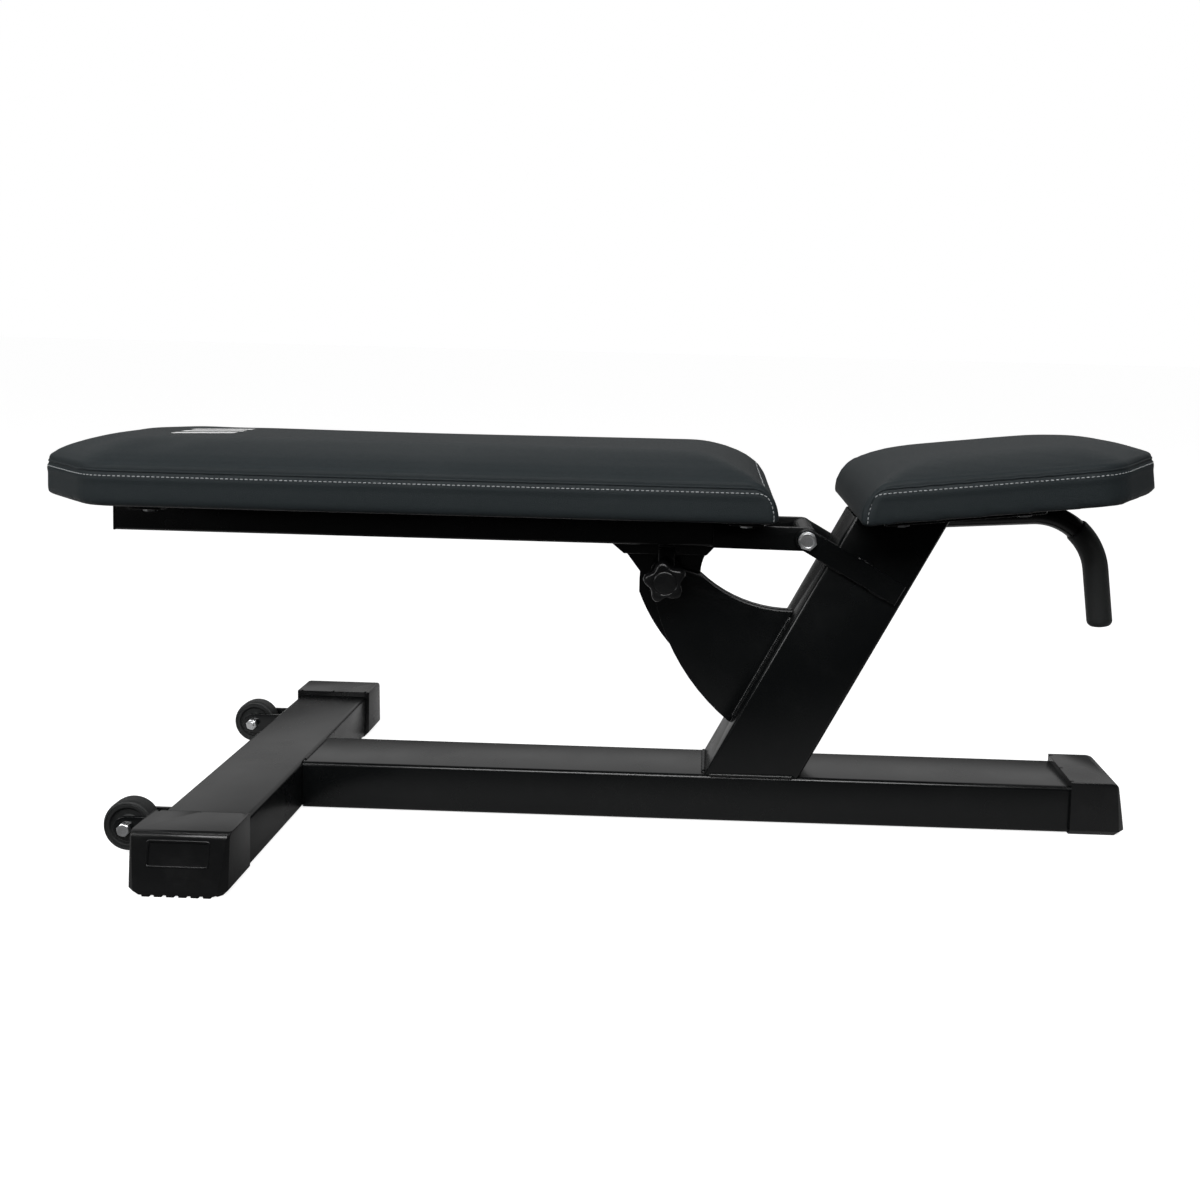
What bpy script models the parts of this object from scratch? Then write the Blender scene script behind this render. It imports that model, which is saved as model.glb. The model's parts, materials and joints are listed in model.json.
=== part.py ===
# Adjustable weight bench: a T-shaped base of rectangular tube, a leaning post, a fixed seat, and a
# backrest that turns on one pivot bolt and is held by a pull pin in a toothless index sector.
# Metres, +Z up. X runs along the bench from the head of the backrest (-X) to the seat (+X),
# Y runs across it, and Z = 0 is the floor. The origin is under the middle of the bench.

import bpy
import bmesh
from math import atan2, cos, pi, radians, sin, sqrt, tan
from mathutils import Matrix, Vector

mm = 0.001
weld_gap = 0.3 * mm            # left between faces that touch on the real bench

# Driving dimensions ---------------------------------------------------------------------------

# Base tubes: the same section lies flat in the foot and in the long base.
tube_width = 94 * mm
tube_height = 56 * mm
tube_wall = 3 * mm
tube_corner = 5 * mm
sole = 2 * mm                  # the end caps lift the tubes this far off the floor
foot_x = -392 * mm             # middle of the foot tube
foot_half_length = 262 * mm
base_end_x = 606.5 * mm

# End caps.
cap_side = 4 * mm              # how far a cap stands proud of the tube's sides
cap_top = 6.5 * mm
cap_flat = 49 * mm             # the flat top, from the lip to where the front rolls down
cap_nose = 18 * mm             # how far the front leans out between its top and its foot
foot_cap_lip = 219.5 * mm
front_cap_lip = 570 * mm
tread_grooves = 7
tread_pitch = 12.5 * mm
tread_width = 5 * mm
tread_depth = 2.5 * mm

# Post.
post_foot_x = 135.9 * mm       # where the post's rear face meets the top of the base tube
post_lean = radians(61.85)     # from the floor
post_depth = 100 * mm
post_wall = 3.5 * mm
sector_slot_width = 8.4 * mm

# Backrest pivot and the pull pin that holds the index sector.
pivot_x = 249.4 * mm
pivot_z = 343.8 * mm
pin_circle = 172.8 * mm        # pull pin to pivot
pin_angle = radians(197.7)     # direction of the pull pin, seen from the pivot
index_step = radians(13)
index_holes = 6
pin_radius = 5.5 * mm
pin_travel = 10 * mm
pin_clearance = 0.7 * mm

# Backrest.
back_tube_width = 80 * mm
back_tube_height = 40 * mm
back_tube_wall = 2.5 * mm
back_tube_head_x = -573 * mm
back_tube_end_x = 209.5 * mm
back_bottom = 374.5 * mm       # underside of the back pad
back_head_x = -648 * mm
back_end_x = 212 * mm

# Seat, tilted up at the front.
seat_tilt = radians(6.3)
seat_rear_x = 299 * mm
seat_rear_z = 375.2 * mm       # underside of the seat pad at its rear edge
seat_length = 351 * mm

# Pads: a vinyl cover over foam on a plywood board.
pad_half_width = 152 * mm
pad_band = 39.5 * mm           # the side band, up to the seam
back_crown = 32.5 * mm         # the top above the seam
seat_crown = 22.5 * mm
board_thickness = 12 * mm
board_margin = 5 * mm
cross_bar_thickness = 3 * mm
screw_row = 122 * mm           # pad screws from the middle of the bench

# Handle under the seat's front.
handle_radius = 13 * mm
handle_wall = 2.5 * mm
grip_radius = 15 * mm
handle_corner = (593 * mm, 380.5 * mm)   # where its two straight runs would meet, in X and Z
handle_bend = 75 * mm
handle_rise = radians(3.7)
handle_drop = radians(83)      # the free leg, below the horizontal

# Transport wheels.
wheel_x = -486 * mm
wheel_y = 180.5 * mm
wheel_z = 33 * mm
wheel_radius = 28 * mm
wheel_width = 20 * mm
fork_inside = 24.4 * mm
fork_plate = 4 * mm
fork_radius = 13 * mm
axle_radius = 4 * mm


# Scene ----------------------------------------------------------------------------------------

for old in list(bpy.data.objects):
    bpy.data.objects.remove(old, do_unlink=True)

parts = bpy.data.collections.new("weight_bench")
cutters = bpy.data.collections.new("cutters")
bpy.context.scene.collection.children.link(parts)
bpy.context.scene.collection.children.link(cutters)


def paint(name, colour, roughness, metallic=0.0):
    material = bpy.data.materials.new(name)
    material.use_nodes = True
    surface = material.node_tree.nodes["Principled BSDF"]
    surface.inputs["Base Color"].default_value = (*colour, 1)
    surface.inputs["Roughness"].default_value = roughness
    surface.inputs["Metallic"].default_value = metallic
    material.diffuse_color = (*colour, 1)
    return material


powder_coat = dict(colour=(0.012, 0.012, 0.013), roughness=0.38)
zinc = dict(colour=(0.62, 0.63, 0.64), roughness=0.3, metallic=1.0)
plastic = dict(colour=(0.014, 0.014, 0.015), roughness=0.28)
rubber = dict(colour=(0.02, 0.02, 0.021), roughness=0.7)
vinyl = dict(colour=(0.03, 0.035, 0.039), roughness=0.45)
plywood = dict(colour=(0.05, 0.045, 0.04), roughness=0.8)
spring_steel = dict(colour=(0.45, 0.45, 0.46), roughness=0.35, metallic=1.0)
nylon = dict(colour=(0.72, 0.71, 0.66), roughness=0.5)


# Shapes ---------------------------------------------------------------------------------------

def add_object(name, data, group=parts):
    thing = bpy.data.objects.new(name, data)
    group.objects.link(thing)
    return thing


def as_solid(curve_object):
    # A mesh object with the curve's evaluated shape, its loose caps welded on.
    bpy.context.view_layer.update()
    seen = curve_object.evaluated_get(bpy.context.evaluated_depsgraph_get())
    mesh = bpy.data.meshes.new_from_object(seen)
    form = bmesh.new()
    form.from_mesh(mesh)
    bmesh.ops.remove_doubles(form, verts=form.verts, dist=0.00001)
    bmesh.ops.recalc_face_normals(form, faces=form.faces)
    form.to_mesh(mesh)
    form.free()
    name, place = curve_object.name, curve_object.matrix_world.copy()
    group = curve_object.users_collection[0]
    bpy.data.objects.remove(curve_object, do_unlink=True)
    solid = add_object(name, mesh, group)
    solid.matrix_world = place
    return solid


across = (radians(90), 0, 0)                 # outline drawn in X and Z, thickness along Y
along = (radians(90), 0, radians(90))        # outline drawn in Y and Z, thickness along X
flat = (0, 0, 0)                             # outline drawn in X and Y, thickness along Z


def extruded(name, loops, thickness, centre, turn, group=parts):
    # A flat outline, and any holes in it, given a thickness.
    curve = bpy.data.curves.new(name, "CURVE")
    curve.dimensions = "2D"
    curve.fill_mode = "BOTH"
    curve.extrude = thickness / 2
    for loop in loops:
        spline = curve.splines.new("POLY")
        spline.points.add(len(loop) - 1)
        for point, (u, v) in zip(spline.points, loop):
            point.co = (u, v, 0, 1)
        spline.use_cyclic_u = True
    thing = add_object(name, curve, group)
    thing.location = centre
    thing.rotation_euler = turn
    return as_solid(thing)


def swept(name, route, radius, sides, group=parts):
    # A round bar along a route of points.
    curve = bpy.data.curves.new(name, "CURVE")
    curve.dimensions = "3D"
    curve.bevel_depth = radius
    curve.bevel_resolution = (sides - 4) // 2
    curve.use_fill_caps = True
    spline = curve.splines.new("POLY")
    spline.points.add(len(route) - 1)
    for point, place in zip(spline.points, route):
        point.co = (*place, 1)
    return as_solid(add_object(name, curve, group))


def block(name, low, high, group=parts):
    # A box between two opposite corners.
    low, high = Vector(low), Vector(high)
    form = bmesh.new()
    bmesh.ops.create_cube(form, size=1)
    bmesh.ops.scale(form, vec=high - low, verts=form.verts)
    mesh = bpy.data.meshes.new(name)
    form.to_mesh(mesh)
    form.free()
    thing = add_object(name, mesh, group)
    thing.location = (low + high) / 2
    return thing


def turned(name, profile, centre, steps=24, hollow=False, group=parts, turn=across):
    # A profile of (radius, height) pairs turned round its axis, which lies along Y by default.
    # The heights run along -Y when the turn is "across".
    mesh = bpy.data.meshes.new(name)
    edges = [(i, i + 1) for i in range(len(profile) - 1)]
    if hollow:
        edges.append((len(profile) - 1, 0))
    mesh.from_pydata([(radius, 0, height) for radius, height in profile], edges, [])
    thing = add_object(name, mesh, group)
    screw = thing.modifiers.new("turned", "SCREW")
    screw.steps = steps
    screw.render_steps = steps
    screw.use_merge_vertices = True
    screw.merge_threshold = 0.00001
    thing.location = centre
    thing.rotation_euler = turn
    return thing


def rod(name, radius, y_from, y_to, x, z, steps=24, group=parts):
    # A plain round bar along Y.
    length = abs(y_to - y_from)
    profile = [(0, length / 2), (radius, length / 2), (radius, -length / 2), (0, -length / 2)]
    return turned(name, profile, (x, (y_from + y_to) / 2, z), steps, group=group)


def ring(name, inner, outer, y_from, y_to, x, z, steps=24, group=parts):
    # A washer, sleeve or short tube along Y.
    half = abs(y_to - y_from) / 2
    profile = [(outer, half), (outer, -half), (inner, -half), (inner, half)]
    return turned(name, profile, (x, (y_from + y_to) / 2, z), steps, hollow=True, group=group)


def use_as_cutter(thing):
    for group in list(thing.users_collection):
        group.objects.unlink(thing)
    cutters.objects.link(thing)
    thing.hide_render = True
    thing.display_type = "WIRE"
    return thing


def cut(target, cutter, operation="DIFFERENCE"):
    use_as_cutter(cutter)
    boolean = target.modifiers.new("cut by " + cutter.name, "BOOLEAN")
    boolean.operation = operation
    boolean.solver = "EXACT"
    boolean.object = cutter
    return target


def add_to(target, piece):
    return cut(target, piece, "UNION")


def bevelled(thing, width, segments=2, angle=40):
    # Flat ends are made whole faces first, so that only real edges are softened.
    form = bmesh.new()
    form.from_mesh(thing.data)
    bmesh.ops.dissolve_limit(form, angle_limit=radians(0.5), verts=form.verts, edges=form.edges)
    form.to_mesh(thing.data)
    form.free()
    bevel = thing.modifiers.new("soft edges", "BEVEL")
    bevel.width = width
    bevel.segments = segments
    bevel.limit_method = "ANGLE"
    bevel.angle_limit = radians(angle)
    return thing


# Outlines -------------------------------------------------------------------------------------

def arc(x, z, radius, start, end, count):
    return [(x + radius * cos(start + (end - start) * i / count),
             z + radius * sin(start + (end - start) * i / count)) for i in range(count + 1)]


def circle(x, z, radius, count=20):
    return arc(x, z, radius, 0, 2 * pi, count)[:-1]


def rectangle(width, height):
    return [(-width / 2, -height / 2), (width / 2, -height / 2),
            (width / 2, height / 2), (-width / 2, height / 2)]


def rounded(corners, radii, count=4):
    # The corners of a polygon, each replaced by an arc of its own radius.
    outline = []
    for i, corner in enumerate(corners):
        here = Vector(corner)
        to_last = (Vector(corners[i - 1]) - here).normalized()
        to_next = (Vector(corners[(i + 1) % len(corners)]) - here).normalized()
        radius = radii[i]
        if radius == 0:
            outline.append(tuple(here))
            continue
        half = to_last.angle(to_next) / 2
        middle = here + (to_last + to_next).normalized() * radius / sin(half)
        start = here + to_last * radius / tan(half) - middle
        sweep = pi - 2 * half
        if to_last.cross(to_next) > 0:
            sweep = -sweep
        for step in range(count + 1):
            angle = atan2(start.y, start.x) + sweep * step / count
            outline.append((middle.x + radius * cos(angle), middle.y + radius * sin(angle)))
    return outline


def moved_in(corners, distances):
    # The same counter-clockwise polygon with each side moved in by its own distance. Side i ends
    # at corner i.
    result = []
    for i, corner in enumerate(corners):
        k = (i + 1) % len(corners)
        here = Vector(corner)
        along_last = (here - Vector(corners[i - 1])).normalized()
        along_next = (Vector(corners[k]) - here).normalized()
        turn = along_last.cross(along_next)
        shift = (along_next * distances[i] - along_last * distances[k]) / turn
        result.append(tuple(here + shift))
    return result


def bowed(start, end, rise, count):
    # Points from start to end along a circular arc that bows to the left by its rise.
    start, end = Vector(start), Vector(end)
    chord = (end - start).length
    radius = (chord * chord / 4 + rise * rise) / (2 * abs(rise))
    side = 1 if rise > 0 else -1
    direction = (end - start).normalized()
    left = Vector((-direction.y, direction.x)) * side
    centre = (start + end) / 2 + left * (abs(rise) - radius)
    first = atan2((start - centre).y, (start - centre).x)
    half_sweep = 2 * atan2(2 * abs(rise), chord)
    return [(centre.x + radius * cos(first - side * 2 * half_sweep * i / count),
             centre.y + radius * sin(first - side * 2 * half_sweep * i / count))
            for i in range(count + 1)]


# Placing --------------------------------------------------------------------------------------

def give(thing, finish):
    thing.data.materials.clear()
    thing.data.materials.append(paint(thing.name + "_finish", **finish))
    thing.data.shade_smooth()
    thing.data.set_sharp_from_angle(angle=radians(32))
    return thing


def frame_at(name, place, turn=(0, 0, 0)):
    empty = add_object(name, None)
    empty.location = place
    empty.rotation_euler = turn
    bpy.context.view_layer.update()
    return empty


def attach(thing, empty):
    # Parent a piece that was modelled in world coordinates.
    thing.parent = empty
    thing.matrix_parent_inverse = empty.matrix_world.inverted()
    return thing


def attach_local(thing, empty):
    # Parent a piece that was modelled in the empty's own coordinates.
    thing.parent = empty
    return thing


# Base -----------------------------------------------------------------------------------------

tube_bottom = sole
tube_middle = sole + tube_height / 2
tube_top = sole + tube_height


def flat_tube_loops():
    corners = rectangle(tube_width, tube_height)
    inner = rectangle(tube_width - 2 * tube_wall, tube_height - 2 * tube_wall)
    return [rounded(corners, [tube_corner] * 4), rounded(inner, [tube_corner - tube_wall] * 4, 2)]


def make_base():
    foot = extruded("foot_tube", flat_tube_loops(), 2 * foot_half_length,
                    (foot_x, 0, tube_middle), across)
    start = foot_x + tube_width / 2 + weld_gap
    base = extruded("base_tube", flat_tube_loops(), base_end_x - start,
                    ((start + base_end_x) / 2, 0, tube_middle), along)
    for tube in (foot, base):
        give(tube, powder_coat)


def cap_outline():
    # Side view: lip at 0, flat top, a front that rolls down to the floor, and the sole.
    top = sole + tube_height + cap_top
    nose = arc(cap_flat, 0, cap_nose, radians(90), 0, 8)
    stretched = [(x, z * top / cap_nose) for x, z in nose]
    return [(0, 0), (0, top)] + stretched[:-1] + [(cap_flat + cap_nose, 6 * mm),
                                                  (cap_flat + cap_nose - 5 * mm, 0)]


def make_cap(name, lip, turn):
    # Modelled with its lip at the origin and its nose towards +X, then turned into place.
    body = extruded(name, [cap_outline()], tube_width + 2 * cap_side, (0, 0, 0), across)
    bevelled(body, 2.5 * mm, 2, 50)
    room = tube_width / 2 + weld_gap
    pocket = block(name + "_pocket", (-20 * mm, -room, tube_bottom - weld_gap),
                   (44 * mm, room, tube_top + weld_gap))
    cut(body, pocket)
    tools = [pocket]
    for i in range(tread_grooves):
        y = (i - (tread_grooves - 1) / 2) * tread_pitch
        groove = block(name + "_tread_%d" % i, (48 * mm, y - tread_width / 2, -5 * mm),
                       (90 * mm, y + tread_width / 2, tread_depth))
        cut(body, groove)
        tools.append(groove)
    place = frame_at(name + "_frame", lip, (0, 0, turn))
    for thing in [body] + tools:
        attach_local(thing, place)
    return give(body, plastic)


def make_caps():
    make_cap("front_cap", (front_cap_lip, 0, 0), 0)
    make_cap("foot_cap_near", (foot_x, -foot_cap_lip, 0), radians(-90))
    make_cap("foot_cap_far", (foot_x, foot_cap_lip, 0), radians(90))


# Post -----------------------------------------------------------------------------------------

post_way = Vector((cos(post_lean), 0, sin(post_lean)))          # up the post
post_front = Vector((sin(post_lean), 0, -cos(post_lean)))       # from its rear face to its front
post_foot = Vector((post_foot_x, 0, tube_top))
pivot = Vector((pivot_x, 0, pivot_z))
pivot_to_post = (post_foot - pivot).dot(post_front)             # pivot to the post's rear face


def post_box(name, grow=0.0, group=parts):
    # The post's outer form, longer than needed at both ends.
    length = 560 * mm
    outline = rounded(rectangle(post_depth + 2 * grow, tube_width + 2 * grow), [tube_corner] * 4)
    middle = post_foot + post_front * post_depth / 2 + post_way * (length / 2 - 90 * mm)
    return extruded(name, [outline], length, middle, (0, pi / 2 - post_lean, 0), group)


def make_post(seat_frame):
    post = post_box("post")
    length = 600 * mm
    bore_outline = rectangle(post_depth - 2 * post_wall, tube_width - 2 * post_wall)
    middle = post_foot + post_front * post_depth / 2 + post_way * (length / 2 - 100 * mm)
    bore = extruded("post_bore", [bore_outline], length, middle, (0, pi / 2 - post_lean, 0))
    cut(post, bore)
    cut(post, block("post_foot_cut", (-100 * mm, -100 * mm, -100 * mm),
                    (500 * mm, 100 * mm, tube_top + weld_gap)))
    top = -cross_bar_thickness - 2 * weld_gap
    top_cut = block("post_top_cut", (-200 * mm, -100 * mm, top), (500 * mm, 100 * mm, 300 * mm))
    attach_local(top_cut, seat_frame)
    cut(post, top_cut)
    # Slot in the rear wall for the tail of the index sector.
    near = sqrt((sector_inner - 4 * mm) ** 2 - pivot_to_post ** 2)
    far = sqrt((sector_outer + 4 * mm) ** 2 - pivot_to_post ** 2)
    slot_middle = pivot + post_front * pivot_to_post - post_way * (near + far) / 2
    slot = extruded("post_slot", [rectangle(40 * mm, far - near)], sector_slot_width, slot_middle,
                    across)
    slot.rotation_euler = (radians(90), pi / 2 - post_lean, 0)
    cut(post, slot)
    return give(post, powder_coat)


# Cheeks: two flat bars welded to the post's sides, which carry the pivot bolt.
cheek_width = 26 * mm
cheek_thickness = 6 * mm
cheek_angle = radians(-29.5)
cheek_reach = 127 * mm
cheek_inside = tube_width / 2 + weld_gap
bolt_radius = 6 * mm


def make_cheek(name, side):
    half = cheek_width / 2
    outline = arc(0, 0, half, radians(90), radians(270), 12)
    outline += [(cheek_reach, -half), (cheek_reach, half)]
    y = side * (cheek_inside + cheek_thickness / 2)
    bar = extruded(name, [outline, circle(0, 0, bolt_radius + weld_gap)], cheek_thickness,
                   (pivot_x, y, pivot_z), across)
    bar.rotation_euler = (radians(90), -cheek_angle, 0)
    return give(bevelled(bar, 0.8 * mm, 1, 60), powder_coat)


def hexagon_rod(name, across_flats, y_from, y_to, x, z, bore=0.0):
    corner = across_flats / sqrt(3)
    outline = [(corner * cos(radians(60 * i + 30)), corner * sin(radians(60 * i + 30)))
               for i in range(6)]
    loops = [outline] + ([circle(0, 0, bore, 20)] if bore else [])
    return extruded(name, loops, abs(y_to - y_from), (x, (y_from + y_to) / 2, z), across)


def make_pivot():
    face = cheek_inside + cheek_thickness + weld_gap
    washer = 2 * mm
    head = 7.5 * mm
    ring("pivot_washer_near", bolt_radius + weld_gap, 10.5 * mm, -face - washer, -face,
         pivot_x, pivot_z)
    ring("pivot_washer_far", bolt_radius + weld_gap, 10.5 * mm, face, face + washer,
         pivot_x, pivot_z)
    seat = face + washer + weld_gap
    bolt = rod("pivot_bolt", bolt_radius, -seat - head / 2, seat + 13 * mm, pivot_x, pivot_z)
    add_to(bolt, hexagon_rod("pivot_bolt_head", 19 * mm, -seat - head, -seat, pivot_x, pivot_z))
    hexagon_rod("pivot_nut", 19 * mm, seat, seat + 10 * mm, pivot_x, pivot_z,
                bolt_radius + weld_gap)
    for name in ("pivot_washer_near", "pivot_washer_far", "pivot_bolt", "pivot_nut"):
        give(bpy.data.objects[name], zinc)


# Index sector and its guides ------------------------------------------------------------------

sector_inner = 146 * mm
sector_outer = 212 * mm
sector_thickness = 6 * mm
guide_thickness = 6 * mm
guide_inside = 4 * mm
flange_bottom = 316.6 * mm
back_tube_bottom = back_bottom - weld_gap - cross_bar_thickness - weld_gap - back_tube_height
pin_x = pivot_x + pin_circle * cos(pin_angle)
pin_z = pivot_z + pin_circle * sin(pin_angle)


def polar(radius, angle):
    return (pivot_x + radius * cos(angle), pivot_z + radius * sin(angle))


def make_sector():
    tail = pin_angle + (index_holes - 1) * index_step + radians(6)
    flange_top, rear, front = back_tube_bottom - weld_gap, 33.7 * mm, 131.7 * mm
    outline = [(rear, flange_bottom), (52 * mm, 292.5 * mm), (51.5 * mm, 283 * mm)]
    outline += arc(pivot_x, pivot_z, sector_outer, radians(201), tail - radians(3.5), 20)
    outline.append(polar(sector_inner + 8 * mm, tail))
    outline += arc(pivot_x, pivot_z, sector_inner, tail - radians(3), radians(209), 14)
    outline += bowed(polar(134 * mm, radians(202.4)), (front, flange_bottom), 1.5 * mm, 4)
    holes = [circle(*polar(pin_circle, pin_angle + i * index_step), pin_radius + pin_clearance)
             for i in range(index_holes)]
    plate = extruded("index_sector", [outline] + holes, sector_thickness, (0, 0, 0), across)
    sides = [(16.5 * mm, flange_top), (rear - 0.5 * mm, flange_bottom + weld_gap),
             (front + 0.5 * mm, flange_bottom + weld_gap), (144.5 * mm, flange_top)]
    flange = extruded("sector_flange", [sides], 44 * mm, (0, 0, 0), across)
    bevelled(flange, 1 * mm, 1)
    return give(plate, powder_coat), give(flange, powder_coat)


def make_guide(name, side):
    # A crescent from the post's rear face to the pull pin; it ends in a round tip at the pin.
    def on_post(z):
        return (post_foot_x + (z - tube_top) / tan(post_lean) - 1.2 * weld_gap, z)
    tip = 20 * mm
    outline = bowed(on_post(112 * mm), (70.5 * mm, 262 * mm), 15 * mm, 10)
    outline += arc(pin_x, pin_z, tip, radians(190), radians(20), 10)
    outline += bowed((126.5 * mm, 291.5 * mm), on_post(250 * mm), -11.5 * mm, 10)
    y = side * (guide_inside + guide_thickness / 2)
    plate = extruded(name, [outline, circle(pin_x, pin_z, pin_radius + pin_clearance)],
                     guide_thickness, (0, y, 0), across)
    return give(plate, powder_coat)


# Pull pin, in its parked position: the tip stands just clear of the sector.
housing_radius = 12 * mm
chamber_radius = 9 * mm
housing_start = -guide_inside - guide_thickness - weld_gap
housing_end = housing_start - 21 * mm
collar_thickness = 2.5 * mm
knob_start = housing_end - 6.7 * mm - pin_travel
knob_depth = 17 * mm


def make_pin():
    ring("pin_housing", chamber_radius, housing_radius, housing_end, housing_start, pin_x, pin_z, 32)
    ring("housing_nut", pin_radius + weld_gap, housing_radius, housing_end - 3 * mm,
         housing_end - weld_gap, pin_x, pin_z, 32)
    tip = -guide_inside - weld_gap
    pin_end = knob_start - 12 * mm
    collar = housing_start - weld_gap - pin_travel
    length = tip - pin_end
    chamfer = 1.5 * mm
    # The heights run along -Y from the tip.
    profile = [(0, length), (pin_radius, length),
               (pin_radius, tip - collar + collar_thickness),
               (chamber_radius - weld_gap, tip - collar + collar_thickness),
               (chamber_radius - weld_gap, tip - collar),
               (pin_radius, tip - collar), (pin_radius, chamfer), (pin_radius - chamfer, 0), (0, 0)]
    turned("pull_pin", profile, (pin_x, tip, pin_z), 24)

    # Compressed spring between the housing nut and the pin's collar.
    wire = 0.7 * mm
    coil_radius = 7.4 * mm
    spring_from = housing_end + wire + weld_gap
    spring_to = collar - collar_thickness - wire - weld_gap
    turns = 2.5
    points = int(turns * 14)
    route = [(pin_x + coil_radius * cos(2 * pi * turns * i / points),
              spring_from + (spring_to - spring_from) * i / points,
              pin_z + coil_radius * sin(2 * pi * turns * i / points))
             for i in range(points + 1)]
    swept("pin_spring", route, wire, 8)

    # Five-lobed knob, closed at the front.
    lobes = 5
    outline = []
    for i in range(60):
        angle = 2 * pi * i / 60
        reach = 22.6 * mm + 3.4 * mm * cos(lobes * (angle - radians(100)))
        outline.append((reach * cos(angle), reach * sin(angle)))
    knob = extruded("star_knob", [outline], knob_depth,
                    (pin_x, knob_start - knob_depth / 2, pin_z), across)
    bevelled(knob, 3 * mm, 2, 60)
    add_to(knob, rod("knob_hub", 11 * mm, knob_start - 2 * mm, knob_start + 3 * mm, pin_x, pin_z))
    cut(knob, rod("knob_bore", pin_radius + weld_gap, knob_start - 12 * mm - weld_gap,
                  knob_start + 10 * mm, pin_x, pin_z))
    give(bpy.data.objects["pin_housing"], powder_coat)
    for name in ("housing_nut", "pull_pin"):
        give(bpy.data.objects[name], zinc)
    give(bpy.data.objects["pin_spring"], spring_steel)
    give(knob, plastic)


def make_rest_stop():
    # A post on the pin housing whose rubber pad carries the back tube when the backrest is flat.
    half = 9.5 * mm
    low = pin_z + housing_radius + weld_gap
    pad_bottom = back_tube_bottom - 4 * mm
    bar = block("rest_stop", (pin_x - half, -31 * mm, low), (pin_x + half, -23.5 * mm, pad_bottom))
    pad = block("rest_stop_pad", (pin_x - half, -31 * mm, pad_bottom + weld_gap),
                (pin_x + half, -23.5 * mm, back_tube_bottom - weld_gap))
    give(bevelled(bar, 0.8 * mm, 1), powder_coat)
    give(bevelled(pad, 0.8 * mm, 1), rubber)


# Backrest -------------------------------------------------------------------------------------

ear_thickness = 5 * mm
ear_half_height = 14 * mm
pivot_tube_radius = 13 * mm
bush_radius = 9 * mm
bush_flange = 1.4 * mm


def make_back_tube():
    length = back_tube_end_x - back_tube_head_x
    middle_z = back_tube_bottom + back_tube_height / 2
    outer = rounded(rectangle(back_tube_width, back_tube_height), [4 * mm] * 4)
    inner = rectangle(back_tube_width - 2 * back_tube_wall, back_tube_height - 2 * back_tube_wall)
    tube = extruded("back_tube", [outer, inner], length,
                    (back_tube_head_x + length / 2, 0, middle_z), along)
    plug_half = back_tube_width / 2 - back_tube_wall - weld_gap
    plug = block("back_tube_plug", (back_tube_head_x - 3 * mm, -back_tube_width / 2,
                                    back_tube_bottom),
                 (back_tube_head_x - weld_gap, back_tube_width / 2,
                  back_tube_bottom + back_tube_height))
    plug_height = back_tube_height / 2 - back_tube_wall - weld_gap
    add_to(plug, block("plug_core", (back_tube_head_x - 1 * mm, -plug_half, middle_z - plug_height),
                       (back_tube_head_x + 14 * mm, plug_half, middle_z + plug_height)))
    return [give(tube, powder_coat), give(plug, plastic)]


def make_ears():
    pieces = []
    ear_inside = back_tube_width / 2 + weld_gap
    tail_x = back_tube_end_x - 70 * mm
    for name, side in (("near", -1), ("far", 1)):
        outline = arc(pivot_x, pivot_z, ear_half_height, radians(-90), radians(90), 12)
        outline += [(tail_x, pivot_z + ear_half_height), (tail_x, pivot_z - ear_half_height + 1 * mm)]
        y = side * (ear_inside + ear_thickness / 2)
        ear = extruded("hinge_ear_" + name, [outline, circle(pivot_x, pivot_z, bush_radius + weld_gap)],
                       ear_thickness, (0, y, 0), across)
        pieces.append(give(ear, powder_coat))

        # Flanged nylon bush through the ear; its flange runs against the cheek.
        outer_face = ear_inside + ear_thickness + weld_gap
        flange = outer_face + bush_flange
        inner_end = ear_inside - 14 * mm
        heights = [-flange, -outer_face, -inner_end]
        flange_radius = 12.5 * mm
        bore = bolt_radius + weld_gap
        profile = [(bush_radius, heights[2]), (bush_radius, heights[1]), (flange_radius, heights[1]),
                   (flange_radius, heights[0]), (bore, heights[0]), (bore, heights[2])]
        bush = turned("pivot_bush_" + name, profile, (pivot_x, 0, pivot_z), 24, hollow=True)
        if side < 0:
            bush.rotation_euler = (radians(-90), 0, 0)
        pieces.append(give(bush, nylon))
    sleeve = ring("pivot_tube", bush_radius + weld_gap, pivot_tube_radius, -back_tube_width / 2,
                  back_tube_width / 2, pivot_x, pivot_z)
    pieces.append(give(sleeve, powder_coat))
    return pieces


def back_corners():
    # Plan of the back pad: square at the pivot end, cut back at 45 degrees towards the head.
    head_half = 60 * mm
    shoulder = back_head_x + (pad_half_width - head_half) * 1.04
    return [(back_head_x, head_half), (back_head_x, -head_half), (shoulder, -pad_half_width),
            (back_end_x, -pad_half_width), (back_end_x, pad_half_width), (shoulder, pad_half_width)]


back_radii = [45 * mm, 45 * mm, 60 * mm, 12 * mm, 12 * mm, 60 * mm]


def seat_corners():
    # Plan of the seat pad from its own rear edge: square at the back, tapered at the front.
    front_half = 66 * mm
    shoulder = seat_length - (pad_half_width - front_half) * 0.78
    return [(0, -pad_half_width), (shoulder, -pad_half_width), (seat_length, -front_half),
            (seat_length, front_half), (shoulder, pad_half_width), (0, pad_half_width)]


seat_radii = [12 * mm, 55 * mm, 45 * mm, 45 * mm, 55 * mm, 12 * mm]


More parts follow.
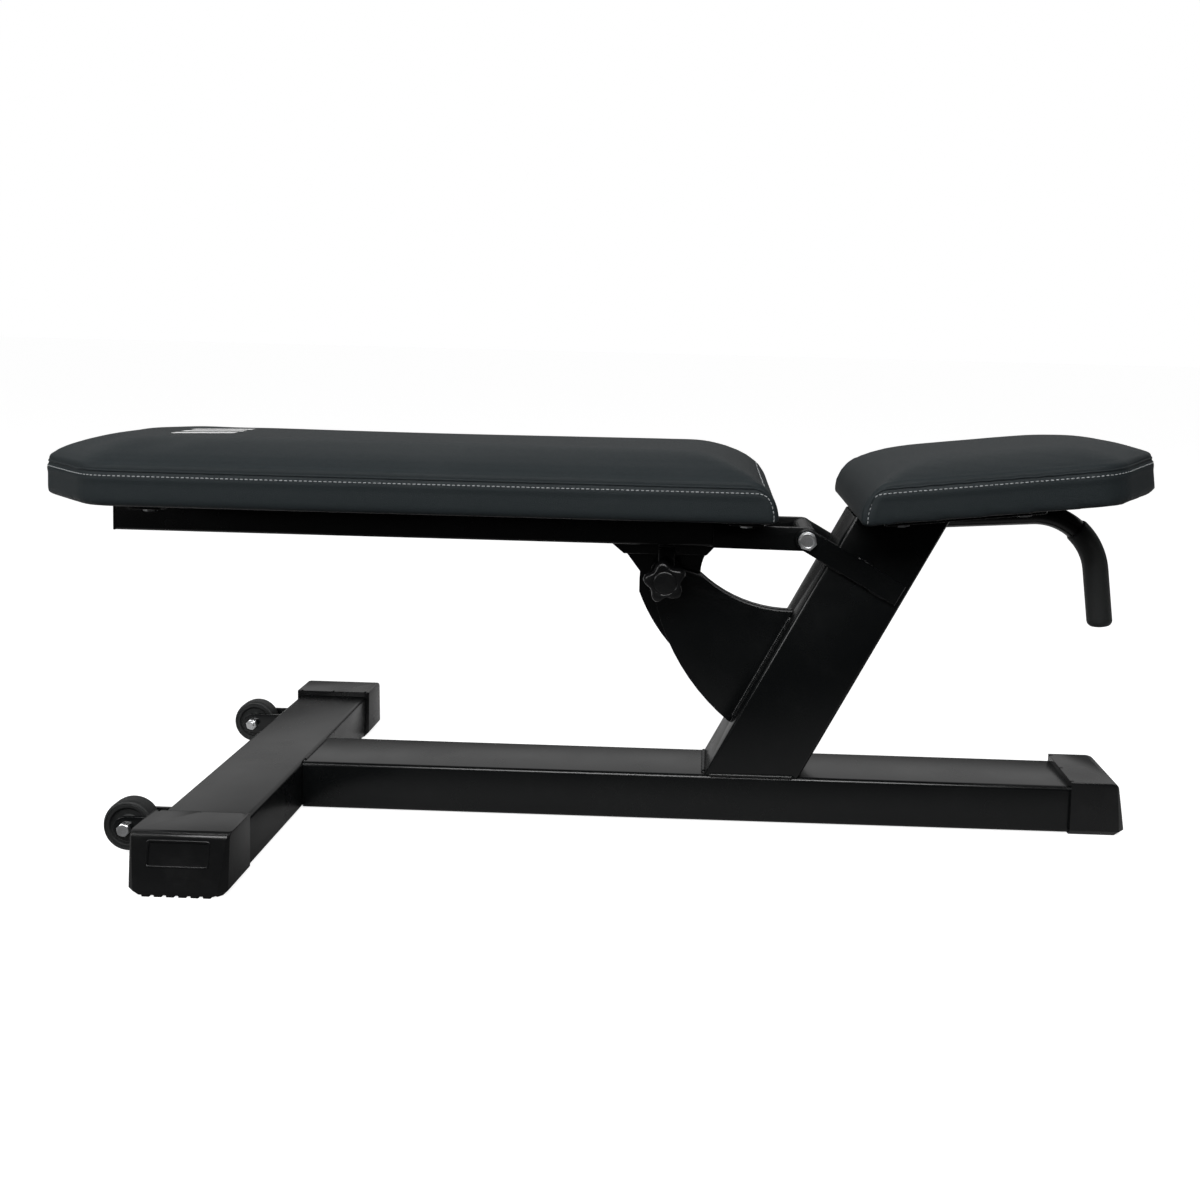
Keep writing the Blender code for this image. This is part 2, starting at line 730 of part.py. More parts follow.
# How far the plan outline is moved in at each level of a pad: at the sides, at the outer end, and
# at the end by the pivot, whose cover rolls over; then how much of the band and crown is below.
pad_levels = [(0, 0, 0, 0, 0),
              (0, 0, 2 * mm, 0.45, 0),
              (0, 0, 12.5 * mm, 1, 0),
              (9 * mm, 11 * mm, 28 * mm, 1, 0.45),
              (24 * mm, 30 * mm, 48 * mm, 1, 0.76),
              (48 * mm, 60 * mm, 74 * mm, 1, 0.93),
              (80 * mm, 92 * mm, 98 * mm, 1, 1)]


def make_cushion(name, corners, radii, outer_side, pivot_side, crown, bottom):
    # A loft through the pad's levels: the band, up to the seam, and the crown above it.
    form = bmesh.new()
    rings = []
    for side_inset, outer_inset, pivot_inset, of_band, of_crown in pad_levels:
        insets = [side_inset] * len(corners)
        insets[outer_side] = outer_inset
        insets[pivot_side] = pivot_inset
        outline = rounded(moved_in(corners, insets), moved_radii(radii, 0.6 * side_inset), 5)
        height = pad_band * of_band + crown * of_crown
        rings.append([form.verts.new((x, y, bottom + height)) for x, y in outline])
    for lower, upper in zip(rings, rings[1:]):
        for i in range(len(lower)):
            k = (i + 1) % len(lower)
            form.faces.new((lower[i], lower[k], upper[k], upper[i]))
    form.faces.new(reversed(rings[0]))
    form.faces.new(rings[-1])
    mesh = bpy.data.meshes.new(name)
    form.to_mesh(mesh)
    form.free()
    cushion = add_object(name, mesh)
    room = board_margin - 0.5 * mm
    pocket = extruded(name + "_pocket", [board_outline(corners, radii, room)],
                      2 * (board_thickness + 0.5 * mm), (0, 0, bottom), flat)
    cut(cushion, pocket)
    return give(cushion, vinyl), pocket


def moved_radii(radii, distance):
    return [max(radius - distance, 12 * mm) for radius in radii]


def board_outline(corners, radii, margin):
    return rounded(moved_in(corners, [margin] * len(corners)), moved_radii(radii, margin), 5)


def make_board(name, corners, radii, bottom, screws):
    outline = board_outline(corners, radii, board_margin)
    holes = [circle(x, y, screw_radius + weld_gap, 12) for x, y in screws]
    board = extruded(name, [outline] + holes, board_thickness, (0, 0, bottom + board_thickness / 2), flat)
    return give(board, plywood)


screw_radius = 4 * mm
screw_head = 3 * mm


def make_screws(name, screws, bottom):
    # Hexagon screws through a bar into the board.
    shank_top = bottom + board_thickness - 2 * mm
    head_top = bottom - cross_bar_thickness - 2 * weld_gap
    corner = 13 * mm / sqrt(3)
    made = []
    for i, (x, y) in enumerate(screws):
        solids = []
        for sides, radius, low, high in ((12, screw_radius, head_top - 1 * mm, shank_top),
                                         (6, corner, head_top - screw_head, head_top)):
            form = bmesh.new()
            bmesh.ops.create_cone(form, cap_ends=True, segments=sides, radius1=radius,
                                  radius2=radius, depth=high - low)
            mesh = bpy.data.meshes.new(name)
            form.to_mesh(mesh)
            form.free()
            solid = add_object("%s_%d" % (name, i + 1), mesh)
            solid.location = (x, y, (low + high) / 2)
            solids.append(solid)
        shank, head = solids
        head.name = "%s_head_%d" % (name, i + 1)
        add_to(shank, head)
        made.append((give(shank, zinc), head))
    return made


def make_cross_bar(name, x, bottom, screws, half_length):
    holes = [circle(0, y, screw_radius + weld_gap, 12) for sx, y in screws if abs(sx - x) < mm]
    outline = rounded(rectangle(40 * mm, 2 * half_length), [6 * mm] * 4, 2)
    z = bottom - weld_gap - cross_bar_thickness / 2
    bar = extruded(name, [outline] + holes, cross_bar_thickness, (x, 0, z), flat)
    return give(bar, powder_coat)


def make_backrest(back_frame):
    head_bar_x, pivot_bar_x = -492 * mm, 176 * mm
    screws = [(x, side * screw_row) for x in (head_bar_x, pivot_bar_x) for side in (-1, 1)]
    pieces = make_back_tube() + make_ears()
    pieces += make_sector()
    pieces += make_cushion("back_cushion", back_corners(), back_radii, 1, 4, back_crown,
                           back_bottom)
    pieces.append(make_board("back_board", back_corners(), back_radii, back_bottom, screws))
    for pair in make_screws("back_screw", screws, back_bottom):
        pieces += pair
    pieces.append(make_cross_bar("back_bar_head", head_bar_x, back_bottom, screws, 138 * mm))
    pieces.append(make_cross_bar("back_bar_pivot", pivot_bar_x, back_bottom, screws, 138 * mm))
    for thing in pieces:
        attach(thing, back_frame)


# Seat -----------------------------------------------------------------------------------------

def make_seat(seat_frame):
    # Modelled level, from the rear edge of the pad's underside, and tilted by its frame.
    rear_row, front_row = 50 * mm, 184 * mm
    screws = [(x, side * screw_row) for x in (rear_row, front_row) for side in (-1, 1)]
    cushion, pocket = make_cushion("seat_cushion", seat_corners(), seat_radii, 3, 0, seat_crown, 0)
    board = make_board("seat_board", seat_corners(), seat_radii, 0, screws)
    screw_pieces = [thing for pair in make_screws("seat_screw", screws, 0) for thing in pair]
    low, high = rear_row - 22 * mm, front_row + 22 * mm
    outline = rounded([(low, -138 * mm), (high, -138 * mm), (high, 138 * mm), (low, 138 * mm)],
                      [6 * mm] * 4, 2)
    holes = [circle(x, y, screw_radius + weld_gap, 12) for x, y in screws]
    plate = extruded("seat_plate", [outline] + holes, cross_bar_thickness,
                     (0, 0, -weld_gap - cross_bar_thickness / 2), flat)
    give(plate, powder_coat)
    for thing in [cushion, pocket, board, plate] + screw_pieces:
        attach_local(thing, seat_frame)


def handle_route(start_from, start_share, end_short):
    # Centre line of the handle: under the seat, round the bend and down the free leg.
    corner = Vector((handle_corner[0], 0, handle_corner[1]))
    into = Vector((cos(handle_rise), 0, sin(handle_rise)))
    out = Vector((cos(handle_drop), 0, -sin(handle_drop)))
    turn = handle_rise + handle_drop
    tangent = handle_bend * tan(turn / 2)
    centre = corner - into * tangent + Vector((into.z, 0, -into.x)) * handle_bend
    steps = 14
    route = []
    if start_share == 0:
        route.append(corner - into * start_from)
    for i in range(int(start_share * steps), steps + 1):
        angle = radians(90) + handle_rise - turn * i / steps
        route.append(centre + Vector((cos(angle), 0, sin(angle))) * handle_bend)
    route.append(corner + out * (140 * mm - end_short))
    return route


def make_handle():
    grip_end = 5 * mm
    handle = swept("handle_tube", handle_route(220 * mm, 0, grip_end + 2 * mm), handle_radius, 16)
    cut(handle, swept("handle_bore", handle_route(240 * mm, 0, -10 * mm),
                      handle_radius - handle_wall, 16))
    cut(handle, post_box("handle_mitre", weld_gap))
    grip = swept("handle_grip", handle_route(0, 0.5, 0), grip_radius, 20)
    cut(grip, swept("grip_bore", [handle_route(0, 0.44, 0)[0]]
                    + handle_route(0, 0.5, grip_end), handle_radius + weld_gap, 16))
    give(handle, powder_coat)
    give(grip, rubber)


# Transport wheels -----------------------------------------------------------------------------

def make_wheel(name, side):
    y = side * wheel_y
    half = wheel_width / 2
    bush_outer, bore = 6.5 * mm, axle_radius + weld_gap
    tread = 2.5 * mm
    web = 3 * mm
    profile = [(wheel_radius - tread, half), (wheel_radius, half - tread),
               (wheel_radius, tread - half), (wheel_radius - tread, -half),
               (wheel_radius - 7 * mm, -half), (wheel_radius - 8 * mm, web - half),
               (11 * mm, web - half), (10 * mm, -half), (bush_outer + weld_gap, -half),
               (bush_outer + weld_gap, half), (10 * mm, half), (11 * mm, half - web),
               (wheel_radius - 8 * mm, half - web), (wheel_radius - 7 * mm, half)]
    wheel = turned("wheel_" + name, profile, (wheel_x, y, wheel_z), 28, hollow=True)
    bush = ring("wheel_bush_" + name, bore, bush_outer, y - half - 1 * mm, y + half + 1 * mm,
                wheel_x, wheel_z)
    axis = frame_at("wheel_axis_" + name, (wheel_x, y, wheel_z))
    for thing, finish in ((wheel, rubber), (bush, nylon)):
        attach(give(thing, finish), axis)


def make_fork(name, side):
    y = side * wheel_y
    total = fork_inside + 2 * fork_plate
    back = foot_x - tube_width / 2 - weld_gap
    outline = arc(wheel_x, wheel_z, fork_radius, radians(90), radians(270), 12)
    outline += [(back, wheel_z - fork_radius), (back, wheel_z + fork_radius)]
    fork = extruded("wheel_fork_" + name, [outline, circle(wheel_x, wheel_z, axle_radius + weld_gap)],
                    total, (0, y, 0), across)
    cut(fork, block("fork_gap_" + name, (wheel_x - 40 * mm, y - fork_inside / 2, 0),
                    (back - fork_plate, y + fork_inside / 2, 80 * mm)))
    give(fork, powder_coat)
    face = total / 2 + weld_gap
    head_height, nut_height, past = 5.3 * mm, 6.5 * mm, 9 * mm
    bolt = rod("wheel_axle_" + name, axle_radius, y + side * (face + head_height / 2),
               y - side * (face + past), wheel_x, wheel_z, 20)
    add_to(bolt, hexagon_rod("axle_head_" + name, 13 * mm, y + side * face,
                             y + side * (face + head_height), wheel_x, wheel_z))
    nut = hexagon_rod("wheel_nut_" + name, 13 * mm, y - side * face, y - side * (face + nut_height),
                      wheel_x, wheel_z, axle_radius + weld_gap)
    for thing in (bolt, nut):
        give(thing, zinc)


# Assembly -------------------------------------------------------------------------------------

def main():
    seat_frame = frame_at("seat_frame", (seat_rear_x, 0, seat_rear_z), (0, -seat_tilt, 0))
    back_frame = frame_at("back_pivot", pivot)
    make_base()
    make_caps()
    make_post(seat_frame)
    make_cheek("pivot_cheek_near", -1)
    make_cheek("pivot_cheek_far", 1)
    make_pivot()
    make_guide("guide_plate_near", -1)
    make_guide("guide_plate_far", 1)
    make_pin()
    make_rest_stop()
    make_backrest(back_frame)
    make_seat(seat_frame)
    make_handle()
    for name, side in (("near", -1), ("far", 1)):
        make_wheel(name, side)
        make_fork(name, side)


main()
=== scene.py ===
import json
from math import atan2, cos, pi, radians, sin, sqrt, tan

import bmesh
import bpy
import numpy as np
from mathutils import Matrix, Vector
from mathutils.bvhtree import BVHTree
from mathutils.kdtree import KDTree


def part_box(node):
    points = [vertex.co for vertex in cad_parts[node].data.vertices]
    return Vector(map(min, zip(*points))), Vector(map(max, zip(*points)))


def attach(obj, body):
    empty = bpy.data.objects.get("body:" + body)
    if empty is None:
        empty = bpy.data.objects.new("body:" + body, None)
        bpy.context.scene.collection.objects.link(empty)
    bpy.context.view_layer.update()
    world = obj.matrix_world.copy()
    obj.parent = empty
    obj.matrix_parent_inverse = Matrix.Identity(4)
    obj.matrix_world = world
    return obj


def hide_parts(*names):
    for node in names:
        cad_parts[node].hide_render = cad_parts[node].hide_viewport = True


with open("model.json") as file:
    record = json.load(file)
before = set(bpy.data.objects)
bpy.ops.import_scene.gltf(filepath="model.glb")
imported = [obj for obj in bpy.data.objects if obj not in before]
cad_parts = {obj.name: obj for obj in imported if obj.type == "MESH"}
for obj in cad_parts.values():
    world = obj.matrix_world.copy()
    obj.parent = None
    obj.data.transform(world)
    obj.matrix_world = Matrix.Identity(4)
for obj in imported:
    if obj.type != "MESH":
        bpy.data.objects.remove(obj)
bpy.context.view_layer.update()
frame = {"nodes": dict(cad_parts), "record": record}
mm = 0.001
print("frame loaded")

# Adjustable weight bench. +X points from the head of the backrest to the seat, -Y is the knob side.


# shader groups that several finishes share

def makeGroup(name, inputs, outputs):
    group = bpy.data.node_groups.new(name, "ShaderNodeTree")
    for kind, socket, value in inputs:
        made = group.interface.new_socket(socket, in_out="INPUT", socket_type="NodeSocket" + kind)
        if value is not None:
            made.default_value = value
    for kind, socket in outputs:
        group.interface.new_socket(socket, in_out="OUTPUT", socket_type="NodeSocket" + kind)
    given, put = group.nodes.new("NodeGroupInput"), group.nodes.new("NodeGroupOutput")
    return group, given.outputs, put.inputs


def feed(tree, socket, value):
    # a socket takes another node's output or a constant
    if isinstance(value, bpy.types.NodeSocket):
        tree.links.new(value, socket)
    else:
        socket.default_value = value


def addNode(tree, kind, values=None, **settings):
    node = tree.nodes.new("ShaderNode" + kind)
    for key, value in settings.items():
        setattr(node, key, value)
    for socket, value in (values or {}).items():
        feed(tree, node.inputs[socket], value)
    return node


def addMath(tree, operation, first, second):
    return addNode(tree, "Math", {0: first, 1: second}, operation=operation).outputs[0]


def addRange(tree, value, ends, kind="SMOOTHSTEP"):
    # from low, from high, to low, to high
    sockets = dict(zip(("From Min", "From Max", "To Min", "To Max"), ends))
    return addNode(tree, "MapRange", {"Value": value, **sockets},
                   interpolation_type=kind).outputs["Result"]


def makePeelGroup():
    # the slight orange peel of baked powder, plus a slow change of gloss from spot to spot
    tree, given, put = makeGroup("orangePeel", [
        ("Vector", "Place", None), ("Float", "Peel per metre", 420.0),
        ("Float", "Patches per metre", 14.0), ("Float", "Gloss low", 0.3),
        ("Float", "Gloss high", 0.45)], [("Float", "Height"), ("Float", "Roughness")])
    finer = addMath(tree, "MULTIPLY", given["Peel per metre"], 4.0)
    peel, fine, patch = [
        addNode(tree, "TexNoise", {"Vector": given["Place"], "Scale": scale,
                                   "Detail": detail}).outputs["Fac"]
        for scale, detail in ((given["Peel per metre"], 2.0), (finer, 3.0),
                              (given["Patches per metre"], 5.0))]
    small = addMath(tree, "MULTIPLY", fine, 0.25)
    feed(tree, put["Height"], addMath(tree, "ADD", peel, small))
    ends = (0.3, 0.7, given["Gloss low"], given["Gloss high"])
    feed(tree, put["Roughness"], addRange(tree, patch, ends, "LINEAR"))
    return tree


def makeGrainGroup():
    # pebbled grain: rounded cells with creases between them, over fine pores
    tree, given, put = makeGroup("pebbleGrain", [
        ("Vector", "Place", None), ("Float", "Pebbles per metre", 620.0),
        ("Float", "Pore share", 0.35)], [("Float", "Height"), ("Float", "Crease")])
    warp = addNode(tree, "TexNoise", {"Vector": given["Place"], "Scale": 260.0})
    shifted = addNode(tree, "VectorMath", {0: warp.outputs["Color"], 1: (0.0016, 0.0016, 0.0016),
                                           2: given["Place"]}, operation="MULTIPLY_ADD")
    cells = addNode(tree, "TexVoronoi", {"Vector": shifted.outputs[0],
                                         "Scale": given["Pebbles per metre"]},
                    feature="DISTANCE_TO_EDGE")
    dome = addRange(tree, cells.outputs["Distance"], (0.0, 0.22, 0.0, 1.0))
    poreScale = addMath(tree, "MULTIPLY", given["Pebbles per metre"], 3.0)
    pores = addNode(tree, "TexNoise", {"Vector": given["Place"], "Scale": poreScale, "Detail": 4.0})
    share = addMath(tree, "MULTIPLY", pores.outputs["Fac"], given["Pore share"])
    feed(tree, put["Height"], addMath(tree, "ADD", dome, share))
    feed(tree, put["Crease"], addMath(tree, "SUBTRACT", 1.0, dome))
    return tree


def makeDustGroup():
    # handling marks: faint lighter dust in patches, mixed over the base colour
    tree, given, put = makeGroup("handlingDust", [
        ("Vector", "Place", None), ("Color", "Base", (0.02, 0.02, 0.02, 1)),
        ("Color", "Dust", (0.2, 0.2, 0.2, 1)), ("Float", "Amount", 0.1),
        ("Float", "Patches per metre", 22.0)], [("Color", "Colour"), ("Float", "Mask")])
    broad = addNode(tree, "TexNoise", {"Vector": given["Place"], "Detail": 8.0, "Roughness": 0.65,
                                       "Scale": given["Patches per metre"]})
    pick = addRange(tree, broad.outputs["Fac"], (0.48, 0.78, 0.0, 1.0))
    amount = addMath(tree, "MULTIPLY", pick, given["Amount"])
    mix = addNode(tree, "Mix", {"Factor": amount, "A": given["Base"], "B": given["Dust"]},
                  data_type="RGBA")
    feed(tree, put["Colour"], mix.outputs["Result"])
    feed(tree, put["Mask"], amount)
    return tree


peelGroup, grainGroup, dustGroup = makePeelGroup(), makeGrainGroup(), makeDustGroup()
print("shader groups made")


# finishes

def startFinish(name, **sockets):
    material = bpy.data.materials.new(name)
    material.use_nodes = True
    tree = material.node_tree
    surface = tree.nodes["Principled BSDF"].inputs
    for socket, value in sockets.items():
        surface[socket.replace("_", " ")].default_value = value
    return material, tree, surface, addNode(tree, "TexCoord").outputs["Object"]


def useGroup(tree, group, place, **values):
    sockets = {socket.replace("_", " "): value for socket, value in values.items()}
    return addNode(tree, "Group", {"Place": place, **sockets}, node_tree=group).outputs


def addBump(tree, surface, height, depth):
    bump = addNode(tree, "Bump", {"Distance": depth, "Strength": 1.0, "Height": height})
    feed(tree, surface["Normal"], bump.outputs["Normal"])


def addRamp(tree, value, dark, light, start=0.0, end=1.0):
    ramp = addNode(tree, "ValToRGB", {"Fac": value})
    low, high = ramp.color_ramp.elements
    low.color, high.color = (*dark, 1), (*light, 1)
    low.position, high.position = start, end
    return ramp.outputs["Color"]


def coatedFinish(name, colour, dust, dustAmount, gloss, peel, depth, **sockets):
    # powder coat and mouldings: peel for the bump and gloss, dust for the colour
    material, tree, surface, place = startFinish(name, **sockets)
    coat = useGroup(tree, peelGroup, place, Peel_per_metre=peel, Gloss_low=gloss[0],
                    Gloss_high=gloss[1])
    marks = useGroup(tree, dustGroup, place, Base=(*colour, 1), Dust=(*dust, 1), Amount=dustAmount)
    feed(tree, surface["Base Color"], marks["Colour"])
    feed(tree, surface["Roughness"], coat["Roughness"])
    addBump(tree, surface, coat["Height"], depth)
    return material


def grainedFinish(name, colour, dust, dustAmount, roughness, pebbles, depth, **sockets):
    # vinyl and rubber: pebbles for the bump, a little rougher in the creases
    material, tree, surface, place = startFinish(name, **sockets)
    grain = useGroup(tree, grainGroup, place, Pebbles_per_metre=pebbles)
    marks = useGroup(tree, dustGroup, place, Base=(*colour, 1), Dust=(*dust, 1),
                     Amount=dustAmount, Patches_per_metre=9.0)
    feed(tree, surface["Base Color"], marks["Colour"])
    feed(tree, surface["Roughness"], addRange(tree, grain["Crease"], (0.0, 1.0, *roughness),
                                              "LINEAR"))
    addBump(tree, surface, grain["Height"], depth)
    return material


def zincFinish(name, colour, low, high):
    # plated steel: a soft spangle in the tint and the gloss
    material, tree, surface, place = startFinish(name, Metallic=1.0)
    spangle = addNode(tree, "TexVoronoi", {"Vector": place, "Scale": 700.0}).outputs["Distance"]
    feed(tree, surface["Base Color"], addRamp(tree, spangle, [c * 0.82 for c in colour], colour))
    brushed = addNode(tree, "TexNoise", {"Vector": place, "Scale": 1400.0}).outputs["Fac"]
    feed(tree, surface["Roughness"], addRange(tree, brushed, (0.0, 1.0, low, high), "LINEAR"))
    addBump(tree, surface, brushed, 0.05 * mm)
    return material


def wovenFinish(name, colour, threads, depth):
    # crossed yarns for the lining under the pads
    material, tree, surface, place = startFinish(name, Roughness=0.85)
    split = addNode(tree, "SeparateXYZ", {"Vector": place}).outputs
    waves = [addMath(tree, "SINE", addMath(tree, "MULTIPLY", split[axis], 2 * pi * threads), 0.0)
             for axis in (0, 1)]
    weave = addMath(tree, "MULTIPLY", *waves)
    tint = addNode(tree, "MapRange", {6: weave, 9: [c * 0.7 for c in colour],
                                      10: [c * 1.25 for c in colour]}, data_type="FLOAT_VECTOR")
    feed(tree, surface["Base Color"], tint.outputs[1])
    addBump(tree, surface, weave, depth)
    return material


def threadFinish(name, colour):
    # twisted polyester yarn
    material, tree, surface, place = startFinish(name, Roughness=0.6, Sheen_Weight=0.3)
    twist = addNode(tree, "TexNoise", {"Vector": place, "Scale": 2600.0}).outputs["Fac"]
    tint = addRamp(tree, twist, [c * 0.6 for c in colour], colour, 0.3, 0.6)
    feed(tree, surface["Base Color"], tint)
    addBump(tree, surface, twist, 0.2 * mm)
    return material


finishes = {
    "coated_steel": coatedFinish("blackPowderCoat", (0.0022, 0.0027, 0.0029), (0.03, 0.03, 0.03),
                                 0.08, (0.2, 0.3), 420.0, 0.05 * mm, Specular_IOR_Level=0.5),
    "gloss_plastic": coatedFinish("glossyMoulding", (0.006, 0.0062, 0.0065), (0.05, 0.05, 0.05),
                                  0.12, (0.18, 0.3), 900.0, 0.03 * mm, Specular_IOR_Level=0.42),
    "matte_plastic": coatedFinish("plainMoulding", (0.008, 0.008, 0.0085), (0.05, 0.05, 0.05),
                                  0.1, (0.45, 0.6), 1200.0, 0.03 * mm),
    "rubber": grainedFinish("softRubber", (0.0085, 0.0095, 0.0095), (0.06, 0.06, 0.06), 0.12,
                            (0.42, 0.55), 1500.0, 0.06 * mm, Specular_IOR_Level=0.45),
    "vinyl": grainedFinish("charcoalVinyl", (0.0175, 0.0222, 0.0243), (0.045, 0.05, 0.053), 0.1,
                           (0.44, 0.58), 760.0, 0.09 * mm, Specular_IOR_Level=0.12),
    "zinc": zincFinish("zincPlate", (0.86, 0.87, 0.88), 0.26, 0.42),
    "plywood": wovenFinish("blackLining", (0.02, 0.02, 0.021), 420.0, 0.15 * mm),
    "nylon": coatedFinish("naturalNylon", (0.6, 0.58, 0.52), (0.4, 0.38, 0.33), 0.2,
                          (0.4, 0.5), 800.0, 0.02 * mm),
    "spring_steel": zincFinish("springWire", (0.5, 0.5, 0.51), 0.25, 0.4),
    "thread": threadFinish("paleThread", (0.38, 0.4, 0.41)),
    "print": coatedFinish("palePrint", (0.8, 0.8, 0.8), (0.6, 0.6, 0.6), 0.3, (0.4, 0.5), 900.0,
                          0.02 * mm),
}
slotOf = {row["node"]: row["material_slot"] for row in frame["record"]["subparts"]}
for nodeName, cadNode in frame["nodes"].items():
    cadNode.data.materials.clear()
    cadNode.data.materials.append(finishes[slotOf[nodeName]])
print("finishes made")


# shapes

def bridge(form, lower, upper):
    for i in range(len(lower)):
        k = (i + 1) % len(lower)
        form.faces.new((lower[i], lower[k], upper[k], upper[i]))


def skin(form, rings):
    # a surface through rings of points that all have the same count, with a face at each end
    made = [[form.verts.new(point) for point in ring] for ring in rings]
    for lower, upper in zip(made, made[1:]):
        bridge(form, lower, upper)
    form.faces.new(made[0][::-1])
    form.faces.new(made[-1])


def tube(form, route, radii, sides=12, upHint=(0, 0, 1)):
    # a round bar along a route, its radius given for every point or once for all
    route = [Vector(p) for p in route]
    if isinstance(radii, float):
        radii = [radii] * len(route)
    rings = []
    up = Vector(upHint)
    for i, here in enumerate(route):
        ahead = (route[min(i + 1, len(route) - 1)] - route[max(i - 1, 0)]).normalized()
        side = ahead.cross(up).normalized()
        up = side.cross(ahead).normalized()
        rings.append([here + (side * cos(a) + up * sin(a)) * radii[i]
                      for a in (2 * pi * k / sides for k in range(sides))])
    skin(form, rings)


def turnedShape(form, profile, centre, steps):
    # (radius, height) pairs turned round a line along Y, closed on itself
    turns = [2 * pi * i / steps for i in range(steps)]
    made = [[form.verts.new(centre + Vector((radius * cos(a), height, radius * sin(a))))
             for a in turns] for radius, height in profile]
    for lower, upper in zip(made, made[1:] + made[:1]):
        bridge(form, lower, upper)


def meshOf(name, form):
    bmesh.ops.recalc_face_normals(form, faces=form.faces)
    mesh = bpy.data.meshes.new(name)
    form.to_mesh(mesh)
    form.free()
    return mesh


def placed(name, data):
    thing = bpy.data.objects.new(name, data)
    bpy.context.scene.collection.objects.link(thing)
    return thing


def loose(name, form):
    # a working object for modifiers, removed when it is evaluated
    return placed(name, meshOf(name, form))


def asPiece(name, form, finish, body, replaced=(), smooth=35):
    return setUp(name, meshOf(name, form), finish, body, replaced, smooth)


def setUp(name, mesh, finish, body, replaced=(), smooth=35):
    mesh.shade_smooth()
    mesh.set_sharp_from_angle(angle=radians(smooth))
    mesh.materials.clear()
    mesh.materials.append(finishes[finish])
    piece = placed(name, mesh)
    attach(piece, body)
    if replaced:
        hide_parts(*replaced)
    return piece


def evaluated(thing):
    bpy.context.view_layer.update()
    seen = thing.evaluated_get(bpy.context.evaluated_depsgraph_get())
    mesh = bpy.data.meshes.new_from_object(seen)
    bpy.data.objects.remove(thing, do_unlink=True)
    return mesh


def boxMiddle(node):
    # the middle of a node's box, on the centre plane
    low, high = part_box(node)
    return Vector(((low.x + high.x) / 2, 0, (low.z + high.z) / 2))


def boxForm(form, low, high):
    made = bmesh.ops.create_cube(form, size=1)["verts"]
    low, high = Vector(low), Vector(high)
    bmesh.ops.scale(form, vec=high - low, verts=made)
    bmesh.ops.translate(form, vec=(low + high) / 2, verts=made)


def roundedCorners(corners, radii, count=8):
    outline = []
    for i, corner in enumerate(corners):
        here = Vector(corner)
        toLast = (Vector(corners[i - 1]) - here).normalized()
        toNext = (Vector(corners[(i + 1) % len(corners)]) - here).normalized()
        half = toLast.angle(toNext) / 2
        middle = here + (toLast + toNext).normalized() * radii[i] / sin(half)
        start = here + toLast * radii[i] / tan(half) - middle
        sweep = (pi - 2 * half) * (-1 if toLast.cross(toNext) > 0 else 1)
        for step in range(count + 1):
            angle = atan2(start.y, start.x) + sweep * step / count
            outline.append((middle.x + radii[i] * cos(angle), middle.y + radii[i] * sin(angle)))
    return outline


def movedIn(corners, distances):
    # each side of a counter-clockwise polygon moved in by its own distance; side i ends at corner i
    result = []
    for i, corner in enumerate(corners):
        k = (i + 1) % len(corners)
        here = Vector(corner)
        last = (here - Vector(corners[i - 1])).normalized()
        ahead = (Vector(corners[k]) - here).normalized()
        shift = (ahead * distances[i] - last * distances[k]) / last.cross(ahead)
        result.append(tuple(here + shift))
    return result


# pads: foam under a vinyl cover, swelled by simulation, then the seam, its stitches and the lining

padShape = dict(band=39.5 * mm, sideRun=80 * mm, outerRun=95 * mm, pivotRun=93 * mm, power=2.15,
                pivotPower=2.2, fold=3.5 * mm, slack=1.0 * mm, cap=3.5 * mm, voxel=5.5 * mm,
                spread=24)
stitchShape = dict(pitch=5.4 * mm, length=3.5 * mm, radius=0.52 * mm, below=4.2 * mm,
                   stand=0.1 * mm, dip=0.8 * mm)
weltShape = dict(above=0.8 * mm, sunk=0.35 * mm, radius=1.45 * mm, end=0.3 * mm)
seamShape = dict(furrow=1.5 * mm, furrowWide=2.6 * mm, roll=0.9 * mm, rollAt=8 * mm,
                 rollWide=3.6 * mm)
liningShape = dict(inset=24 * mm, lessRound=20 * mm, leastRound=8 * mm, below=0.22 * mm,
                   staplePitch=42 * mm, staple=10 * mm, wire=0.3 * mm)
clothShape = dict(frames=20, pressure=4.0, mass=0.3, stiffness=25, bending=2.0, held=5 * mm)


def quarter(share, power):
    # how far in a rounded edge has come, as a share of its run, at a share of its height
    return 1 - (1 - min(share, 1.0) ** power) ** (1 / power)


def padInsets(pad, height):
    s = padShape
    total = s["band"] + pad["crown"]
    over = max(height - s["band"], 0) / pad["crown"]
    fold = s["fold"] * (1 - min(height / (4 * mm), 1)) ** 2
    side = s["sideRun"] * quarter(over, s["power"]) + fold
    outer = s["outerRun"] * quarter(over, s["power"]) + fold
    pivotEnd = s["pivotRun"] * quarter(height / total, s["pivotPower"]) + fold
    insets = [side] * len(pad["corners"])
    insets[pad["outerSide"]] = outer
    insets[pad["pivotSide"]] = pivotEnd
    return insets, side


def padOutline(pad, height, slack=0.0, count=8):
    insets, side = padInsets(pad, height)
    radii = [max(r - 0.6 * side, min(r, 12 * mm) + 0.12 * side) for r in pad["radii"]]
    return roundedCorners(movedIn(pad["corners"], [i + slack for i in insets]), radii, count)


def padStart(name, pad, slack):
    total = padShape["band"] + pad["crown"]
    heights = [0, 0.8 * mm, 1.8 * mm, 3 * mm, 4 * mm]
    heights += [4 * mm + (padShape["band"] - 4 * mm) * i / 7 for i in range(1, 8)]
    heights += [padShape["band"] + pad["crown"] * sin(radians(a)) for a in range(6, 91, 6)]
    form = bmesh.new()
    skin(form, [[pad["place"] @ Vector((x, y, h * (1 - slack / total)))
                 for x, y in padOutline(pad, h, slack)] for h in heights])
    return loose(name, form)


